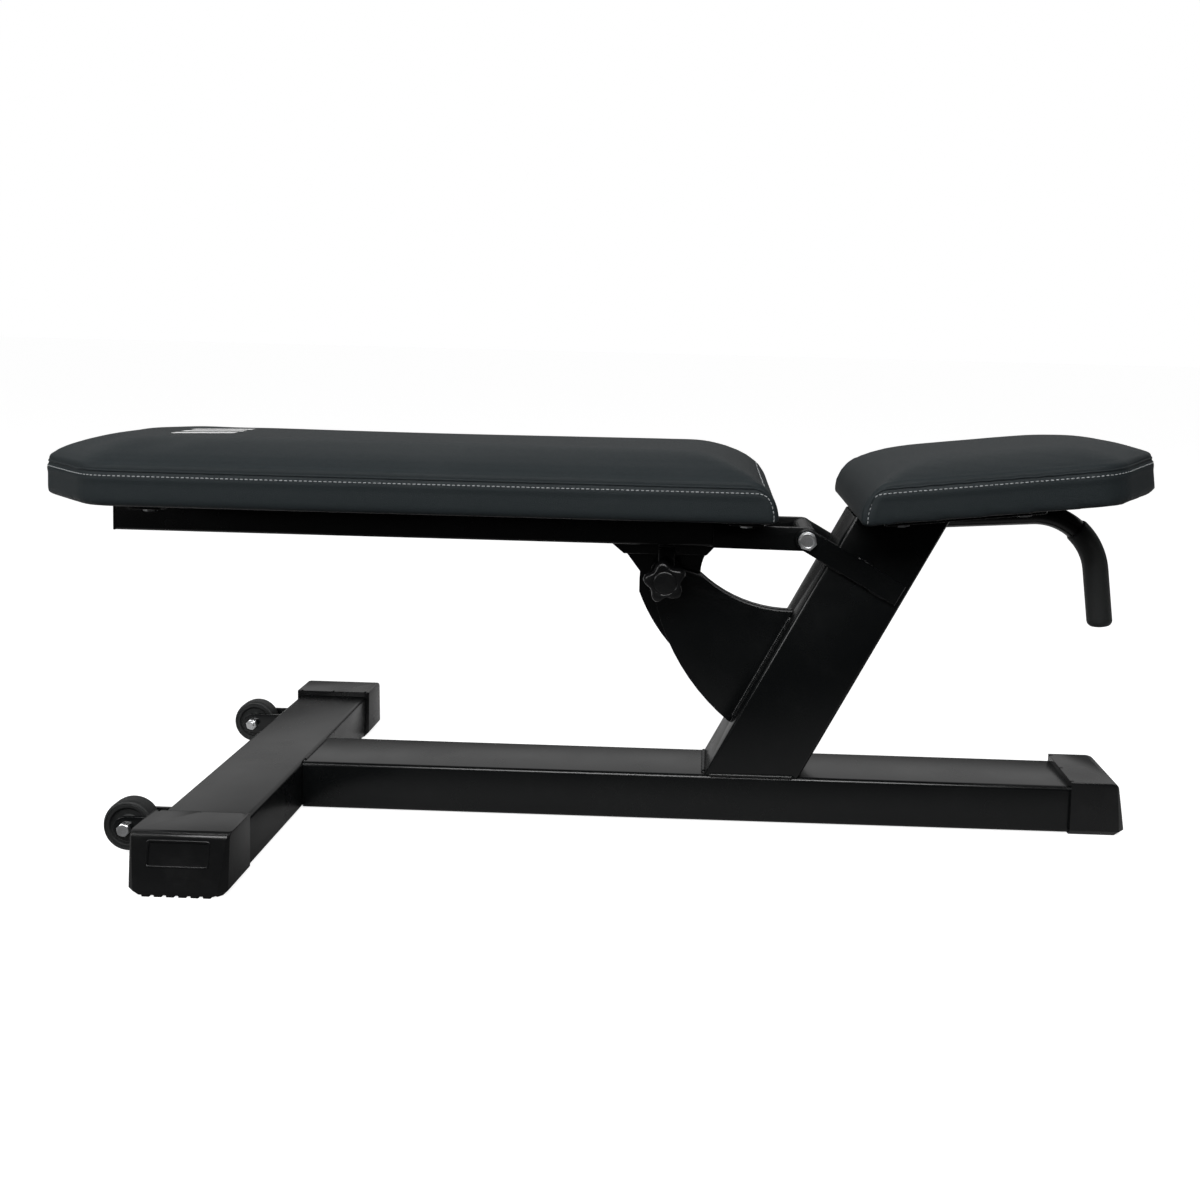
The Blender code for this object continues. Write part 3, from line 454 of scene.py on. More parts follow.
def seamLine(pad, below, step=1.6 * mm):
    # along the sides and the outer end under the crown, and down the corners at the pivot end
    total = padShape["band"] + pad["crown"]
    height = padShape["band"] - below
    outline = [Vector((x, y)) for x, y in padOutline(pad, padShape["band"], 0.0, 16)]
    endX, towards = pad["pivotX"], pad["towards"]
    inner = padShape["pivotRun"] * quarter(height / total, padShape["pivotPower"])
    turn = pad["seamTurn"] - 0.4 * below
    stopX = endX - towards * (inner + turn + below - pad["seamShift"])
    kept = [p for p in outline if (p.x - stopX) * towards < 0]
    first = max(range(len(kept)), key=lambda i: (kept[i] - kept[i - 1]).length)
    kept = kept[first:] + kept[:first]
    sideNear, sideFar = kept[0].y, kept[-1].y
    points = [Vector((p.x, p.y, height)) for p in kept]

    def drop(y):
        line = []
        for i in range(13):
            a = radians(90) * i / 12
            line.append(Vector((stopX + towards * turn * sin(a), y, height - turn * (1 - cos(a)))))
        low = height - turn
        for i in range(1, 7):
            h = low * (1 - i / 6) + 1.5 * mm * i / 6
            lean = padShape["pivotRun"] * (quarter(low / total, 2.2) - quarter(h / total, 2.2))
            line.append(Vector((stopX + towards * (turn + lean), y, h)))
        return line
    points = drop(sideNear)[::-1] + points + drop(sideFar)
    line = [pad["place"] @ p for p in points]
    return evenly(line, step)


def evenly(line, step):
    # the same polyline with its points a fixed step apart
    lengths = [0.0]
    for a, b in zip(line, line[1:]):
        lengths.append(lengths[-1] + (b - a).length)
    coords = np.array([tuple(p) for p in line])
    count = max(int(lengths[-1] / step), 2)
    at = np.linspace(0, lengths[-1], count)
    columns = [np.interp(at, lengths, coords[:, i]) for i in range(3)]
    return [Vector(p) for p in np.stack(columns, 1)]


def relaxedLine(points, rounds=6):
    for _ in range(rounds):
        points = [points[0]] + [(a + b * 2 + c) / 4
                                for a, b, c in zip(points, points[1:], points[2:])] + [points[-1]]
    return points


def spread(mesh, move, rounds):
    # average each vertex's movement with its neighbours', which leaves the swell and no creases
    edges = np.zeros(len(mesh.edges) * 2, np.int32)
    mesh.edges.foreach_get("vertices", edges)
    first, second = edges.reshape(-1, 2).T
    shares = np.zeros(len(move))
    np.add.at(shares, first, 1)
    np.add.at(shares, second, 1)
    for _ in range(rounds):
        total = np.zeros_like(move)
        np.add.at(total, first, move[second])
        np.add.at(total, second, move[first])
        move = 0.4 * move + 0.6 * total / shares[:, None]
    return move


def seamTree(pad):
    seam = seamLine(pad, 0.0)
    tree = KDTree(len(seam))
    for i, point in enumerate(seam):
        tree.insert(point, i)
    tree.balance()
    return tree


def swell(thing, pad):
    # inflate with the seams and the underside held, then limit the movement and even it out
    c = clothShape
    mesh = thing.data
    tree, unplace = seamTree(pad), pad["place"].inverted()
    held = thing.vertex_groups.new(name="held")
    for vertex in mesh.vertices:
        if (unplace @ vertex.co).z < c["held"] or tree.find(vertex.co)[2] < c["held"]:
            held.add([vertex.index], 1.0, "REPLACE")
    start = readPoints(mesh)
    cloth = thing.modifiers.new("swell", "CLOTH")
    settings = cloth.settings
    settings.quality, settings.mass = 5, c["mass"]
    settings.tension_stiffness = settings.compression_stiffness = c["stiffness"]
    settings.bending_stiffness = c["bending"]
    settings.use_pressure = True
    settings.uniform_pressure_force = c["pressure"]
    settings.effector_weights.gravity = 0.0
    settings.vertex_group_mass = "held"
    cloth.point_cache.frame_start, cloth.point_cache.frame_end = 1, c["frames"]
    for now in range(1, c["frames"] + 1):
        bpy.context.scene.frame_set(now)
    seen = thing.evaluated_get(bpy.context.evaluated_depsgraph_get())
    ended = readPoints(seen.data)
    thing.modifiers.remove(cloth)
    bpy.context.scene.frame_set(1)
    move = ended - start
    far = np.linalg.norm(move, axis=1)
    print(thing.name, "swelled by up to", round(float(far.max()) * 1000, 1), "mm")
    move *= np.minimum(1, padShape["cap"] / np.maximum(far, 1e-9))[:, None]
    writePoints(mesh, start + spread(mesh, move, padShape["spread"]))


def pressSeam(mesh, pad):
    # a shallow furrow along the seam with a soft roll of cover above it
    f = seamShape
    tree = seamTree(pad)
    places, normals = readPoints(mesh), np.zeros(len(mesh.vertices) * 3, np.float32)
    mesh.vertex_normals.foreach_get("vector", normals)
    distance = np.array([tree.find(place)[2] for place in places])
    furrow = f["furrow"] * np.exp(-(distance / f["furrowWide"]) ** 2)
    roll = f["roll"] * np.exp(-((distance - f["rollAt"]) / f["rollWide"]) ** 2)
    writePoints(mesh, places + normals.reshape(-1, 3) * (roll - furrow)[:, None])


def readPoints(mesh):
    places = np.zeros(len(mesh.vertices) * 3, np.float32)
    mesh.vertices.foreach_get("co", places)
    return places.reshape(-1, 3).astype(float)


def writePoints(mesh, places):
    mesh.vertices.foreach_set("co", places.astype(np.float32).ravel())
    mesh.update()


def keepInside(mesh, pad):
    # nothing goes below the underside, which stays flat on its board
    place = np.array(pad["place"])
    local = (readPoints(mesh) - place[:3, 3]) @ place[:3, :3]
    local[:, 2] = np.maximum(local[:, 2], 0)
    writePoints(mesh, local @ place[:3, :3].T + place[:3, 3])


def faceTree(mesh):
    return BVHTree.FromPolygons([v.co for v in mesh.vertices], [p.vertices for p in mesh.polygons])


def onSurface(mesh, points):
    tree = faceTree(mesh)
    return [tree.find_nearest(point)[:2] for point in points]


def stitches(name, pad, mesh, body):
    # short bars of thread that dip into the cover at both ends
    s = stitchShape
    shares = (-0.5, -0.42, -0.2, 0.2, 0.42, 0.5)
    dips = (0.9, 0.35, 0, 0, 0.35, 0.9)
    sizes = (0.5, 0.85, 1, 1, 0.85, 0.5)
    line = onSurface(mesh, seamLine(pad, s["below"], s["pitch"]))
    form = bmesh.new()
    for (a, normal), (b, _) in zip(line, line[1:]):
        ahead = b - a
        if ahead.length < 0.4 * s["pitch"]:
            continue
        ahead.normalize()
        middle = (a + b) / 2 + normal * s["stand"]
        route = [middle + ahead * s["length"] * t - normal * dip * s["dip"]
                 for t, dip in zip(shares, dips)]
        tube(form, route, [s["radius"] * k for k in sizes], 8, normal)
    asPiece(name, form, "thread", body, smooth=60)


def welt(name, pad, mesh, body):
    # the folded edge of the cover that stands just above the stitches
    w = weltShape
    line = onSurface(mesh, relaxedLine(seamLine(pad, -w["above"], 2.4 * mm)))
    route = relaxedLine([p - n * w["sunk"] for p, n in line], 3)
    form = bmesh.new()
    tube(form, route, [w["end"]] + [w["radius"]] * (len(route) - 2) + [w["end"]], 12)
    asPiece(name, form, "vinyl", body, smooth=60)


def lining(name, pad, body):
    # thin woven backing inside the turned-under edge of the cover, with its staples
    s = liningShape
    corners = movedIn(pad["corners"], [s["inset"]] * len(pad["corners"]))
    outline = roundedCorners(corners, [max(r - s["lessRound"], s["leastRound"])
                                       for r in pad["radii"]])
    form = bmesh.new()
    skin(form, [[pad["place"] @ Vector((x, y, h)) for x, y in outline]
                for h in (-s["below"], 1.2 * mm)])
    asPiece(name + "Lining", form, "plywood", body)
    form = bmesh.new()
    ring = [Vector((x, y, -0.2 * mm)) for x, y in outline]
    spots = evenly(ring + ring[:1], s["staplePitch"])
    half = s["staple"] / 2
    for here, ahead in zip(spots, spots[1:]):
        way = (ahead - here).normalized()
        centre = here - Vector((way.y, -way.x, 0)) * 0.4 * half
        route = [centre + way * t for t in (-half, 0.4 * mm - half, half - 0.4 * mm, half)]
        route[0].z = route[-1].z = 0.5 * mm
        tube(form, [pad["place"] @ p for p in route], s["wire"], 6)
    asPiece(name + "Staples", form, "zinc", body)


def makePad(name, pad, body, replaced):
    # remesh the plain shape, swell it, subdivide it, then sew it
    slack = padShape["slack"]
    thing = padStart(name, pad, slack)
    remesh = thing.modifiers.new("even", "REMESH")
    remesh.mode, remesh.voxel_size = "VOXEL", padShape["voxel"]
    thing = placed(name, evaluated(thing))
    swell(thing, pad)
    fine = thing.modifiers.new("fine", "SUBSURF")
    fine.levels = fine.render_levels = 1
    mesh = evaluated(thing)
    pressSeam(mesh, pad)
    keepInside(mesh, pad)
    cushion = setUp(name, mesh, "vinyl", body, replaced, 80)
    stitches(name + "Stitches", pad, mesh, body)
    welt(name + "Welt", pad, mesh, body)
    lining(name, pad, body)
    print(name, "made")
    return mesh


def backPadShape():
    low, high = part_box("back_cushion")
    halfWidth, headHalf = high.y, 60 * mm
    shoulder = low.x + (halfWidth - headHalf) * 1.04
    return dict(
        corners=[(low.x, headHalf), (low.x, -headHalf), (shoulder, -halfWidth),
                 (high.x, -halfWidth), (high.x, halfWidth), (shoulder, halfWidth)],
        radii=[45 * mm, 45 * mm, 60 * mm, 12 * mm, 12 * mm, 60 * mm],
        outerSide=1, pivotSide=4, crown=high.z - low.z - padShape["band"],
        place=Matrix.Translation((0, 0, low.z)), pivotX=high.x, towards=1, seamTurn=19 * mm,
        seamShift=7 * mm)


seatTilt = radians(6.3)
seatRear = Vector((299 * mm, 0, 375.2 * mm))


def seatPadShape():
    halfWidth, frontHalf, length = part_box("seat_cushion")[1].y, 66 * mm, 351 * mm
    shoulder = length - (halfWidth - frontHalf) * 0.78
    return dict(
        corners=[(0, -halfWidth), (shoulder, -halfWidth), (length, -frontHalf),
                 (length, frontHalf), (shoulder, halfWidth), (0, halfWidth)],
        radii=[8 * mm, 55 * mm, 45 * mm, 45 * mm, 55 * mm, 8 * mm],
        outerSide=3, pivotSide=0, crown=22.5 * mm,
        place=Matrix.Translation(seatRear) @ Matrix.Rotation(-seatTilt, 4, "Y"),
        pivotX=0.0, towards=-1, seamTurn=14 * mm, seamShift=6 * mm)


backCover = makePad("backCushion", backPadShape(), "backrest", ("back_cushion", "back_board"))
makePad("seatCushion", seatPadShape(), "stand", ("seat_cushion", "seat_board"))


# three slanted bars printed near the head end

printShape = dict(bars=3, left=-503 * mm, right=-437 * mm, wide=13 * mm, gap=15 * mm,
                  slant=11 * mm, thick=0.25 * mm)


def makePrint(cover):
    b = printShape
    tree = faceTree(cover)
    form = bmesh.new()
    across, lengthwise = 8, 24
    for i in range(b["bars"]):
        middle = (i - (b["bars"] - 1) / 2) * (b["wide"] + b["gap"])
        grid = []
        for j in range(lengthwise + 1):
            x = b["left"] + (b["right"] - b["left"]) * j / lengthwise
            lean = b["slant"] * (2 * j / lengthwise - 1)
            row = []
            for k in range(across + 1):
                y = middle + lean + b["wide"] * (k / across - 0.5)
                place = tree.ray_cast(Vector((x, y, 1)), Vector((0, 0, -1)))[0]
                row.append(form.verts.new(place + Vector((0, 0, b["thick"]))))
            grid.append(row)
        for low, high in zip(grid, grid[1:]):
            for k in range(across):
                form.faces.new((low[k], high[k], high[k + 1], low[k + 1]))
    thing = loose("print", form)
    thick = thing.modifiers.new("thick", "SOLIDIFY")
    thick.thickness, thick.offset = 2 * b["thick"], -1
    setUp("headPrint", evaluated(thing), "print", "backrest", smooth=40)


makePrint(backCover)


# end caps: moulded shells with a rolled nose, chamfered corners, a framed panel and a ribbed foot

capShape = dict(flat=49 * mm, nose=18 * mm, roll=8 * mm, toe=7 * mm, toeBack=4 * mm,
                toeIn=7 * mm, cornerTop=2.5 * mm, cornerFoot=9 * mm, edge=1.5 * mm,
                sunk=1.1 * mm, frameWide=63 * mm, frameLow=31 * mm, frameHigh=56 * mm,
                frameRadius=1.2 * mm, bedIn=1.6 * mm, treads=7, treadPitch=12.5 * mm,
                treadWide=5 * mm, treadDeep=2.5 * mm, notchHalf=1.3 * mm, notchDeep=1.6 * mm)


def capNose(height, top):
    # how far the front stands out at a height: a tight roll at the top, then a straight lean
    c = capShape
    start = top - c["roll"]
    if height > start:
        return c["flat"] + c["roll"] * sqrt(max(1 - ((height - start) / c["roll"]) ** 2, 0))
    return c["flat"] + c["roll"] + (c["nose"] - c["roll"]) * (1 - height / start)


def makeCap(name, node, lip, turn):
    c = capShape
    low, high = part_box(node)
    top = high.z
    half = (high.x - low.x) / 2 if turn else (high.y - low.y) / 2
    heights = [c["toe"] + (top - c["roll"] - c["toe"]) * i / 4 for i in range(5)]
    heights += [top - c["roll"] + c["roll"] * sin(radians(a)) for a in (15, 30, 45, 60, 75, 90)]
    form = bmesh.new()
    rings = []
    for z, reach, side in [(0, c["flat"] + c["nose"] - c["toeBack"], half - c["toeIn"])] + [
            (z, capNose(z, top), half) for z in heights]:
        cut = c["cornerTop"] + (c["cornerFoot"] - c["cornerTop"]) * (1 - z / top) ** 1.3
        rings.append([(0, -side, z), (reach - cut, -side, z), (reach, cut - side, z),
                      (reach, side - cut, z), (reach - cut, side, z), (0, side, z)])
    skin(form, rings)
    thing = loose(name, form)
    bevel = thing.modifiers.new("edge", "BEVEL")
    bevel.width, bevel.segments, bevel.angle_limit = c["edge"], 3, radians(28)
    # treads under the foot, notches in the lip, and the panel's bed parallel to the leaning front
    grooves = bmesh.new()
    for i in range(c["treads"]):
        y = (i - (c["treads"] - 1) / 2) * c["treadPitch"]
        boxForm(grooves, (c["flat"], y - c["treadWide"] / 2, -5 * mm),
                (90 * mm, y + c["treadWide"] / 2, c["treadDeep"]))
    for y in (0.0, half - 6 * mm, 6 * mm - half):
        boxForm(grooves, (-5 * mm, y - c["notchHalf"], top - c["notchDeep"]),
                (4 * mm, y + c["notchHalf"], top + 5 * mm))
    lean = atan2(c["nose"] - c["roll"], top - c["roll"])
    middle = (c["frameLow"] + c["frameHigh"]) / 2
    wide = c["frameWide"] / 2 - c["bedIn"]
    tall = (c["frameHigh"] - c["frameLow"]) / 2 - c["bedIn"]
    bed = bmesh.new()
    boxForm(bed, (-c["sunk"], -wide, -tall), (6 * mm, wide, tall))
    bmesh.ops.transform(bed, verts=bed.verts, matrix=Matrix.Translation(
        (capNose(middle, top), 0, middle)) @ Matrix.Rotation(-lean, 4, "Y"))
    bedMesh = bpy.data.meshes.new("bed")
    bed.to_mesh(bedMesh)
    bed.free()
    grooves.from_mesh(bedMesh)
    cutter = loose(name + "Cutter", grooves)
    cut = thing.modifiers.new("treads", "BOOLEAN")
    cut.operation, cut.object, cut.solver = "DIFFERENCE", cutter, "EXACT"
    mesh = evaluated(thing)
    bpy.data.objects.remove(cutter, do_unlink=True)
    form = bmesh.new()
    form.from_mesh(mesh)
    # the raised frame round the panel, one loop of half-round moulding that follows the nose
    wide, frameLow, frameHigh = c["frameWide"] / 2, c["frameLow"], c["frameHigh"]
    loop = roundedCorners([(-wide, frameLow), (wide, frameLow), (wide, frameHigh),
                           (-wide, frameHigh)], [1.5 * mm] * 4, 4)
    path = evenly([Vector((y, z, 0)) for y, z in loop + loop[:1]], 2.2 * mm)
    route = [Vector((capNose(p.y, top) - 0.35 * mm, p.x, p.y)) for p in path]
    tube(form, route, c["frameRadius"], 10, (1, 0, 0))
    bmesh.ops.transform(form, matrix=Matrix.Translation(lip) @ Matrix.Rotation(turn, 4, "Z"),
                        verts=form.verts)
    asPiece(name, form, "gloss_plastic", "stand", (node,), 40)


footX = -392 * mm  # middle of the foot tube
makeCap("frontCap", "front_cap", Vector((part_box("front_cap")[0].x, 0, 0)), 0)
for side, end, quarterTurn in (("near", 1, radians(-90)), ("far", 0, radians(90))):
    node = "foot_cap_" + side
    makeCap("footCap" + side.title(), node, Vector((footX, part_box(node)[end].y, 0)), quarterTurn)
print("caps made")


# star knob: five soft lobes round a domed centre disc

knobShape = dict(lobes=5, middle=22.6 * mm, swing=3.4 * mm, turn=radians(100), disc=13.5 * mm,
                 hub=11 * mm, around=120)


def makeKnob():
    k = knobShape
    low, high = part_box("star_knob")
    centre = boxMiddle("pull_pin")
    front, hubBack = low.y, high.y
    rings = [(hubBack - front, k["hub"] - 0.6 * mm, 0), (hubBack - front - 0.6 * mm, k["hub"], 0)]
    # mm behind the front, mm more than the part's radius, share of the lobes' swing
    for part, steps in (("hub", ((17.5, 0, 0), (17, 1.5, 0.1))),
                        ("middle", ((17, -4.5, 0.7), (16.2, -2, 0.85), (14.6, -0.5, 0.97),
                                    (12.6, 0, 1), (8.6, 0, 1), (5.6, -0.35, 0.98),
                                    (3.4, -1.4, 0.9), (1.9, -3.2, 0.74), (1.2, -5.2, 0.5))),
                        ("disc", ((1.1, 1.8, 0.12), (1.3, 0.9, 0), (2, 0.5, 0), (2, 0, 0),
                                  (1.2, -0.4, 0), (0.7, -2.2, 0), (0.25, -6.75, 0),
                                  (0, -10.8, 0)))):
        rings += [(behind * mm, k[part] + more * mm, share) for behind, more, share in steps]
    form = bmesh.new()
    turns = [2 * pi * i / k["around"] for i in range(k["around"])]
    loops = []
    for behind, radius, share in rings:
        reaches = [radius + share * k["swing"] * cos(k["lobes"] * (a - k["turn"])) for a in turns]
        loops.append([centre + Vector((reach * cos(a), front + behind, reach * sin(a)))
                      for a, reach in zip(turns, reaches)])
    skin(form, loops)
    asPiece("starKnob", form, "gloss_plastic", "knob", ("star_knob",), 50)


makeKnob()


# hexagon heads and nuts with turned chamfers

boltShape = dict(pivotAcross=19 * mm, pivotShank=6 * mm, pivotDish=1.1 * mm,
                 wheelAcross=13 * mm, wheelShank=4 * mm, wheelDish=0.4 * mm)
boltAxis = Vector((0, 1, 0))
boltFirst = boltAxis.orthogonal().normalized()
boltSecond = boltAxis.cross(boltFirst)


def boltRing(centre, at, steps, reachAt):
    # a closed ring round a bolt's axis; its reach is a function of the angle
    return [centre + boltAxis * at + (boltFirst * cos(a) + boltSecond * sin(a)) * reachAt(a)
            for a in (2 * pi * i / steps for i in range(steps))]


def hexForm(form, centre, across, inner, outer, dish=0.0):
    # from the seat plane to the chamfered outer face, both along the axis from the centre
    flat = across / 2
    sign = 1 if outer > inner else -1
    deep = flat * 0.17

    def ring(at, share):
        return boltRing(centre, at, 72,
                        lambda a: min(flat / cos((a % (pi / 3)) - pi / 6), flat * share))
    rings = [ring(inner, 1.0), ring(inner + sign * 0.3 * mm, 1.13)]
    for t in (0, 0.33, 0.66, 1):
        rings.append(ring(outer - sign * deep * (1 - t), 1.156 - 0.215 * t ** 1.3))
    rings.append(ring(outer, 0.9))
    if dish:
        rings += [ring(outer - sign * dish * 0.2, 0.76), ring(outer - sign * dish, 0.66),
                  ring(outer - sign * dish, 0.3)]
    skin(form, rings)


def disc(form, centre, radius, start, end, edge=0.35 * mm):
    sign = 1 if end > start else -1
    skin(form, [boltRing(centre, at, 48, lambda a: r) for at, r in (
        (start, radius - edge), (start + sign * edge, radius),
        (end - sign * edge, radius), (end, radius - edge))])


def makePivotBolt():
    b = boltShape
    low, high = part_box("pivot_bolt")
    middle = boxMiddle("pivot_bolt")
    nearFace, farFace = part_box("pivot_washer_near"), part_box("pivot_washer_far")
    form = bmesh.new()
    hexForm(form, middle, b["pivotAcross"], nearFace[0].y - 0.1 * mm, low.y, b["pivotDish"])
    disc(form, middle, b["pivotShank"], nearFace[0].y - 0.2 * mm, high.y, 0.9 * mm)
    asPiece("pivotBolt", form, "zinc", "stand", ("pivot_bolt",), 30)
    form = bmesh.new()
    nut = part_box("pivot_nut")
    hexForm(form, middle, b["pivotAcross"], nut[0].y, nut[1].y)
    asPiece("pivotNut", form, "zinc", "stand", ("pivot_nut",), 30)
    for side, piece in (("near", nearFace), ("far", farFace)):
        form = bmesh.new()
        disc(form, middle, piece[1].x - middle.x, piece[0].y, piece[1].y)
        asPiece("pivotWasher" + side.title(), form, "zinc", "stand", ("pivot_washer_" + side,), 30)


makePivotBolt()
print("knob and pivot bolt made")


# handle: bent tube and its soft grip with a rounded end

handleShape = dict(corner=(593 * mm, 380.5 * mm), rise=radians(3.7), drop=radians(83),
                   bend=75 * mm, leg=140 * mm, lead=220 * mm, tube=13 * mm, grip=15 * mm)


def handleRoute(startShare, endShort, steps=40):
    h = handleShape
    corner = Vector((h["corner"][0], 0, h["corner"][1]))
    into = Vector((cos(h["rise"]), 0, sin(h["rise"])))
    out = Vector((cos(h["drop"]), 0, -sin(h["drop"])))
    turn = h["rise"] + h["drop"]
    centre = corner - into * h["bend"] * tan(turn / 2) + Vector((into.z, 0, -into.x)) * h["bend"]
    route = [corner - into * h["lead"]] if startShare == 0 else []
    for i in range(int(startShare * steps), steps + 1):
        angle = radians(90) + h["rise"] - turn * i / steps
        route.append(centre + Vector((cos(angle), 0, sin(angle))) * h["bend"])
    route.append(corner + out * (h["leg"] - endShort))
    return route


def makeHandle():
    h = handleShape
    form = bmesh.new()
    tube(form, handleRoute(0, 6 * mm), h["tube"], 40, (0, 1, 0))
    asPiece("handleTube", form, "coated_steel", "stand", ("handle_tube",), 30)
    # the grip's lip rises over its first 3 mm and its end is rounded over the last 7 mm
    lip, end = 3 * mm, 7 * mm
    route = evenly(handleRoute(0.5, 0), 1.0 * mm)
    radii = []
    for i in range(len(route)):
        fromStart, fromEnd = i * mm, (len(route) - 1 - i) * mm
        radius = h["grip"]
        if fromStart < lip:
            radius = h["tube"] + 0.5 * mm + (h["grip"] - h["tube"] - 0.5 * mm) * sin(
                radians(90 * fromStart / lip))
        if fromEnd < end:
            radius = h["grip"] - end + end * sqrt(max(1 - (1 - fromEnd / end) ** 2, 0))
        radii.append(radius)
    form = bmesh.new()
    tube(form, route, radii, 40, (0, 1, 0))
    asPiece("handleGrip", form, "rubber", "stand", ("handle_grip",), 60)


makeHandle()


# transport wheels: moulded wheel with a dished web, and bolts with chamfered heads

wheelShape = dict(radius=28 * mm, half=10 * mm, web=3.4 * mm, hub=10.5 * mm, bore=6.8 * mm)


def makeWheels():
    w, b = wheelShape, boltShape
    for side, sign in (("near", -1), ("far", 1)):
        low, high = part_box("wheel_" + side)
        centre = (low + high) / 2
        r, half = w["radius"], w["half"]
        profile = [(w["bore"], -half), (w["hub"] - 0.6 * mm, -half), (w["hub"], 0.6 * mm - half),
                   (w["hub"] + 0.5 * mm, 2.6 * mm - half), (w["hub"] + 1.6 * mm, w["web"] - half)]
        # mm in from the tread, mm in from the side face
        profile += [(r - inward * mm, deep * mm - half) for inward, deep in (
            (10, w["web"] / mm), (8.6, 2.6), (7.8, 0.6), (7.2, 0), (4.4, 0), (4, 0.5), (3.6, 0.5),
            (3.2, 0), (2.6, 0.1), (1.2, 0.9), (0.3, 2.6), (0, 5))]
        profile += [(radius, -height) for radius, height in profile[::-1]]
        form = bmesh.new()
        turnedShape(form, profile, centre, 96)
        asPiece("wheel" + side.title(), form, "rubber", "roller_" + side, ("wheel_" + side,), 25)
        # inner end first, outer end last, on this side of the bench
        bolt, nut, fork = [[corner.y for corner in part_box(node + side)][::sign]
                           for node in ("wheel_axle_", "wheel_nut_", "wheel_fork_")]
        middle = boxMiddle("wheel_axle_" + side)
        form = bmesh.new()
        hexForm(form, middle, b["wheelAcross"], fork[1] + sign * 0.2 * mm, bolt[1],
                b["wheelDish"])
        disc(form, middle, b["wheelShank"], fork[1], bolt[0], 0.6 * mm)
        asPiece("wheelBolt" + side.title(), form, "zinc", "stand", ("wheel_axle_" + side,), 30)
        form = bmesh.new()
        hexForm(form, middle, b["wheelAcross"], nut[1], nut[0])
        asPiece("wheelNut" + side.title(), form, "zinc", "stand", ("wheel_nut_" + side,), 30)


makeWheels()
print("handle and wheels made")


# steel plates and tubes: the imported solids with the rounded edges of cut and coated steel

edgeOf = {"base_tube": 2.6, "foot_tube": 2.6, "post": 2.6, "back_tube": 2.2, "back_tube_plug": 1.2,
          "pivot_cheek_near": 1.0, "pivot_cheek_far": 1.0, "hinge_ear_near": 0.9,
          "hinge_ear_far": 0.9, "guide_plate_near": 0.8, "guide_plate_far": 0.8,
          "index_sector": 0.7, "sector_flange": 1.0, "wheel_fork_near": 0.7, "wheel_fork_far": 0.7,
          "back_bar_head": 0.5, "back_bar_pivot": 0.5, "seat_plate": 0.6, "rest_stop": 1.2,
          "rest_stop_pad": 0.9, "pin_housing": 0.8}


def nameOf(node):
    first, *others = node.split("_")
    return first + "".join(word.title() for word in others)


def softEdges(node, width):
    form = bmesh.new()
    form.from_mesh(frame["nodes"][node].data)
    bmesh.ops.remove_doubles(form, verts=form.verts, dist=0.02 * mm)
    bmesh.ops.dissolve_limit(form, angle_limit=radians(1), verts=form.verts, edges=form.edges)
    thing = loose(nameOf(node), form)
    bevel = thing.modifiers.new("edge", "BEVEL")
    bevel.width, bevel.segments, bevel.angle_limit = width * mm, 3, radians(34)
    bevel.miter_outer = "MITER_ARC"
    mesh = evaluated(thing)
    for polygon in mesh.polygons:
        polygon.material_index = 0
    body = next(b for b, members in frame["record"]["behaviour"]["bodies"].items()
                if node in members)
    setUp(nameOf(node), mesh, slotOf[node], body, (node,), 30)


for nodeName, width in edgeOf.items():
    softEdges(nodeName, width)
print("steel edges rounded")


# weld beads: overlapping ripples laid along the joints

weldShape = dict(ripple=2.4 * mm, guide=2.1 * mm, postSide=2.4 * mm, postEnd=2.8 * mm,
                 teeSide=4.2 * mm, teeTop=2.4 * mm, cheek=1.9 * mm, handle=2.2 * mm,
                 housing=1.6 * mm, ear=2.1 * mm, earTop=1.9 * mm, flange=1.7 * mm, bar=1.5 * mm,
                 guideLow=118 * mm, guideHigh=243 * mm, postEndHalf=40 * mm, barHalf=32 * mm,
                 cheekRuns=((13.2, 34, 56), (13.2, 92, 114), (-13.2, 62, 84)),
                 earRuns=((8, 30), (44, 66)))
postLean, tubeTop = radians(61.85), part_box("base_tube")[1].z
postFootX, postDepth, postHalf = 135.9 * mm, 100 * mm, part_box("post")[1].y
pivot = Vector((249.4 * mm, 0, 343.8 * mm))
cheekLean = radians(-29.5)


def beadForm(form, route, radius):
    route = evenly([Vector(p) for p in route], weldShape["ripple"] / 4)
    radii = []
    for i in range(len(route)):
        ends = min(i, len(route) - 1 - i) / 5
        wave = 0.88 + 0.12 * abs(sin(pi * i / 4)) + 0.05 * sin(i * 0.37)
        radii.append(radius * wave * min(0.35 + 0.65 * ends, 1))
    tube(form, route, radii, 12)


def onPost(height, y):
    return Vector((postFootX + (height - tubeTop) / tan(postLean), y, height))


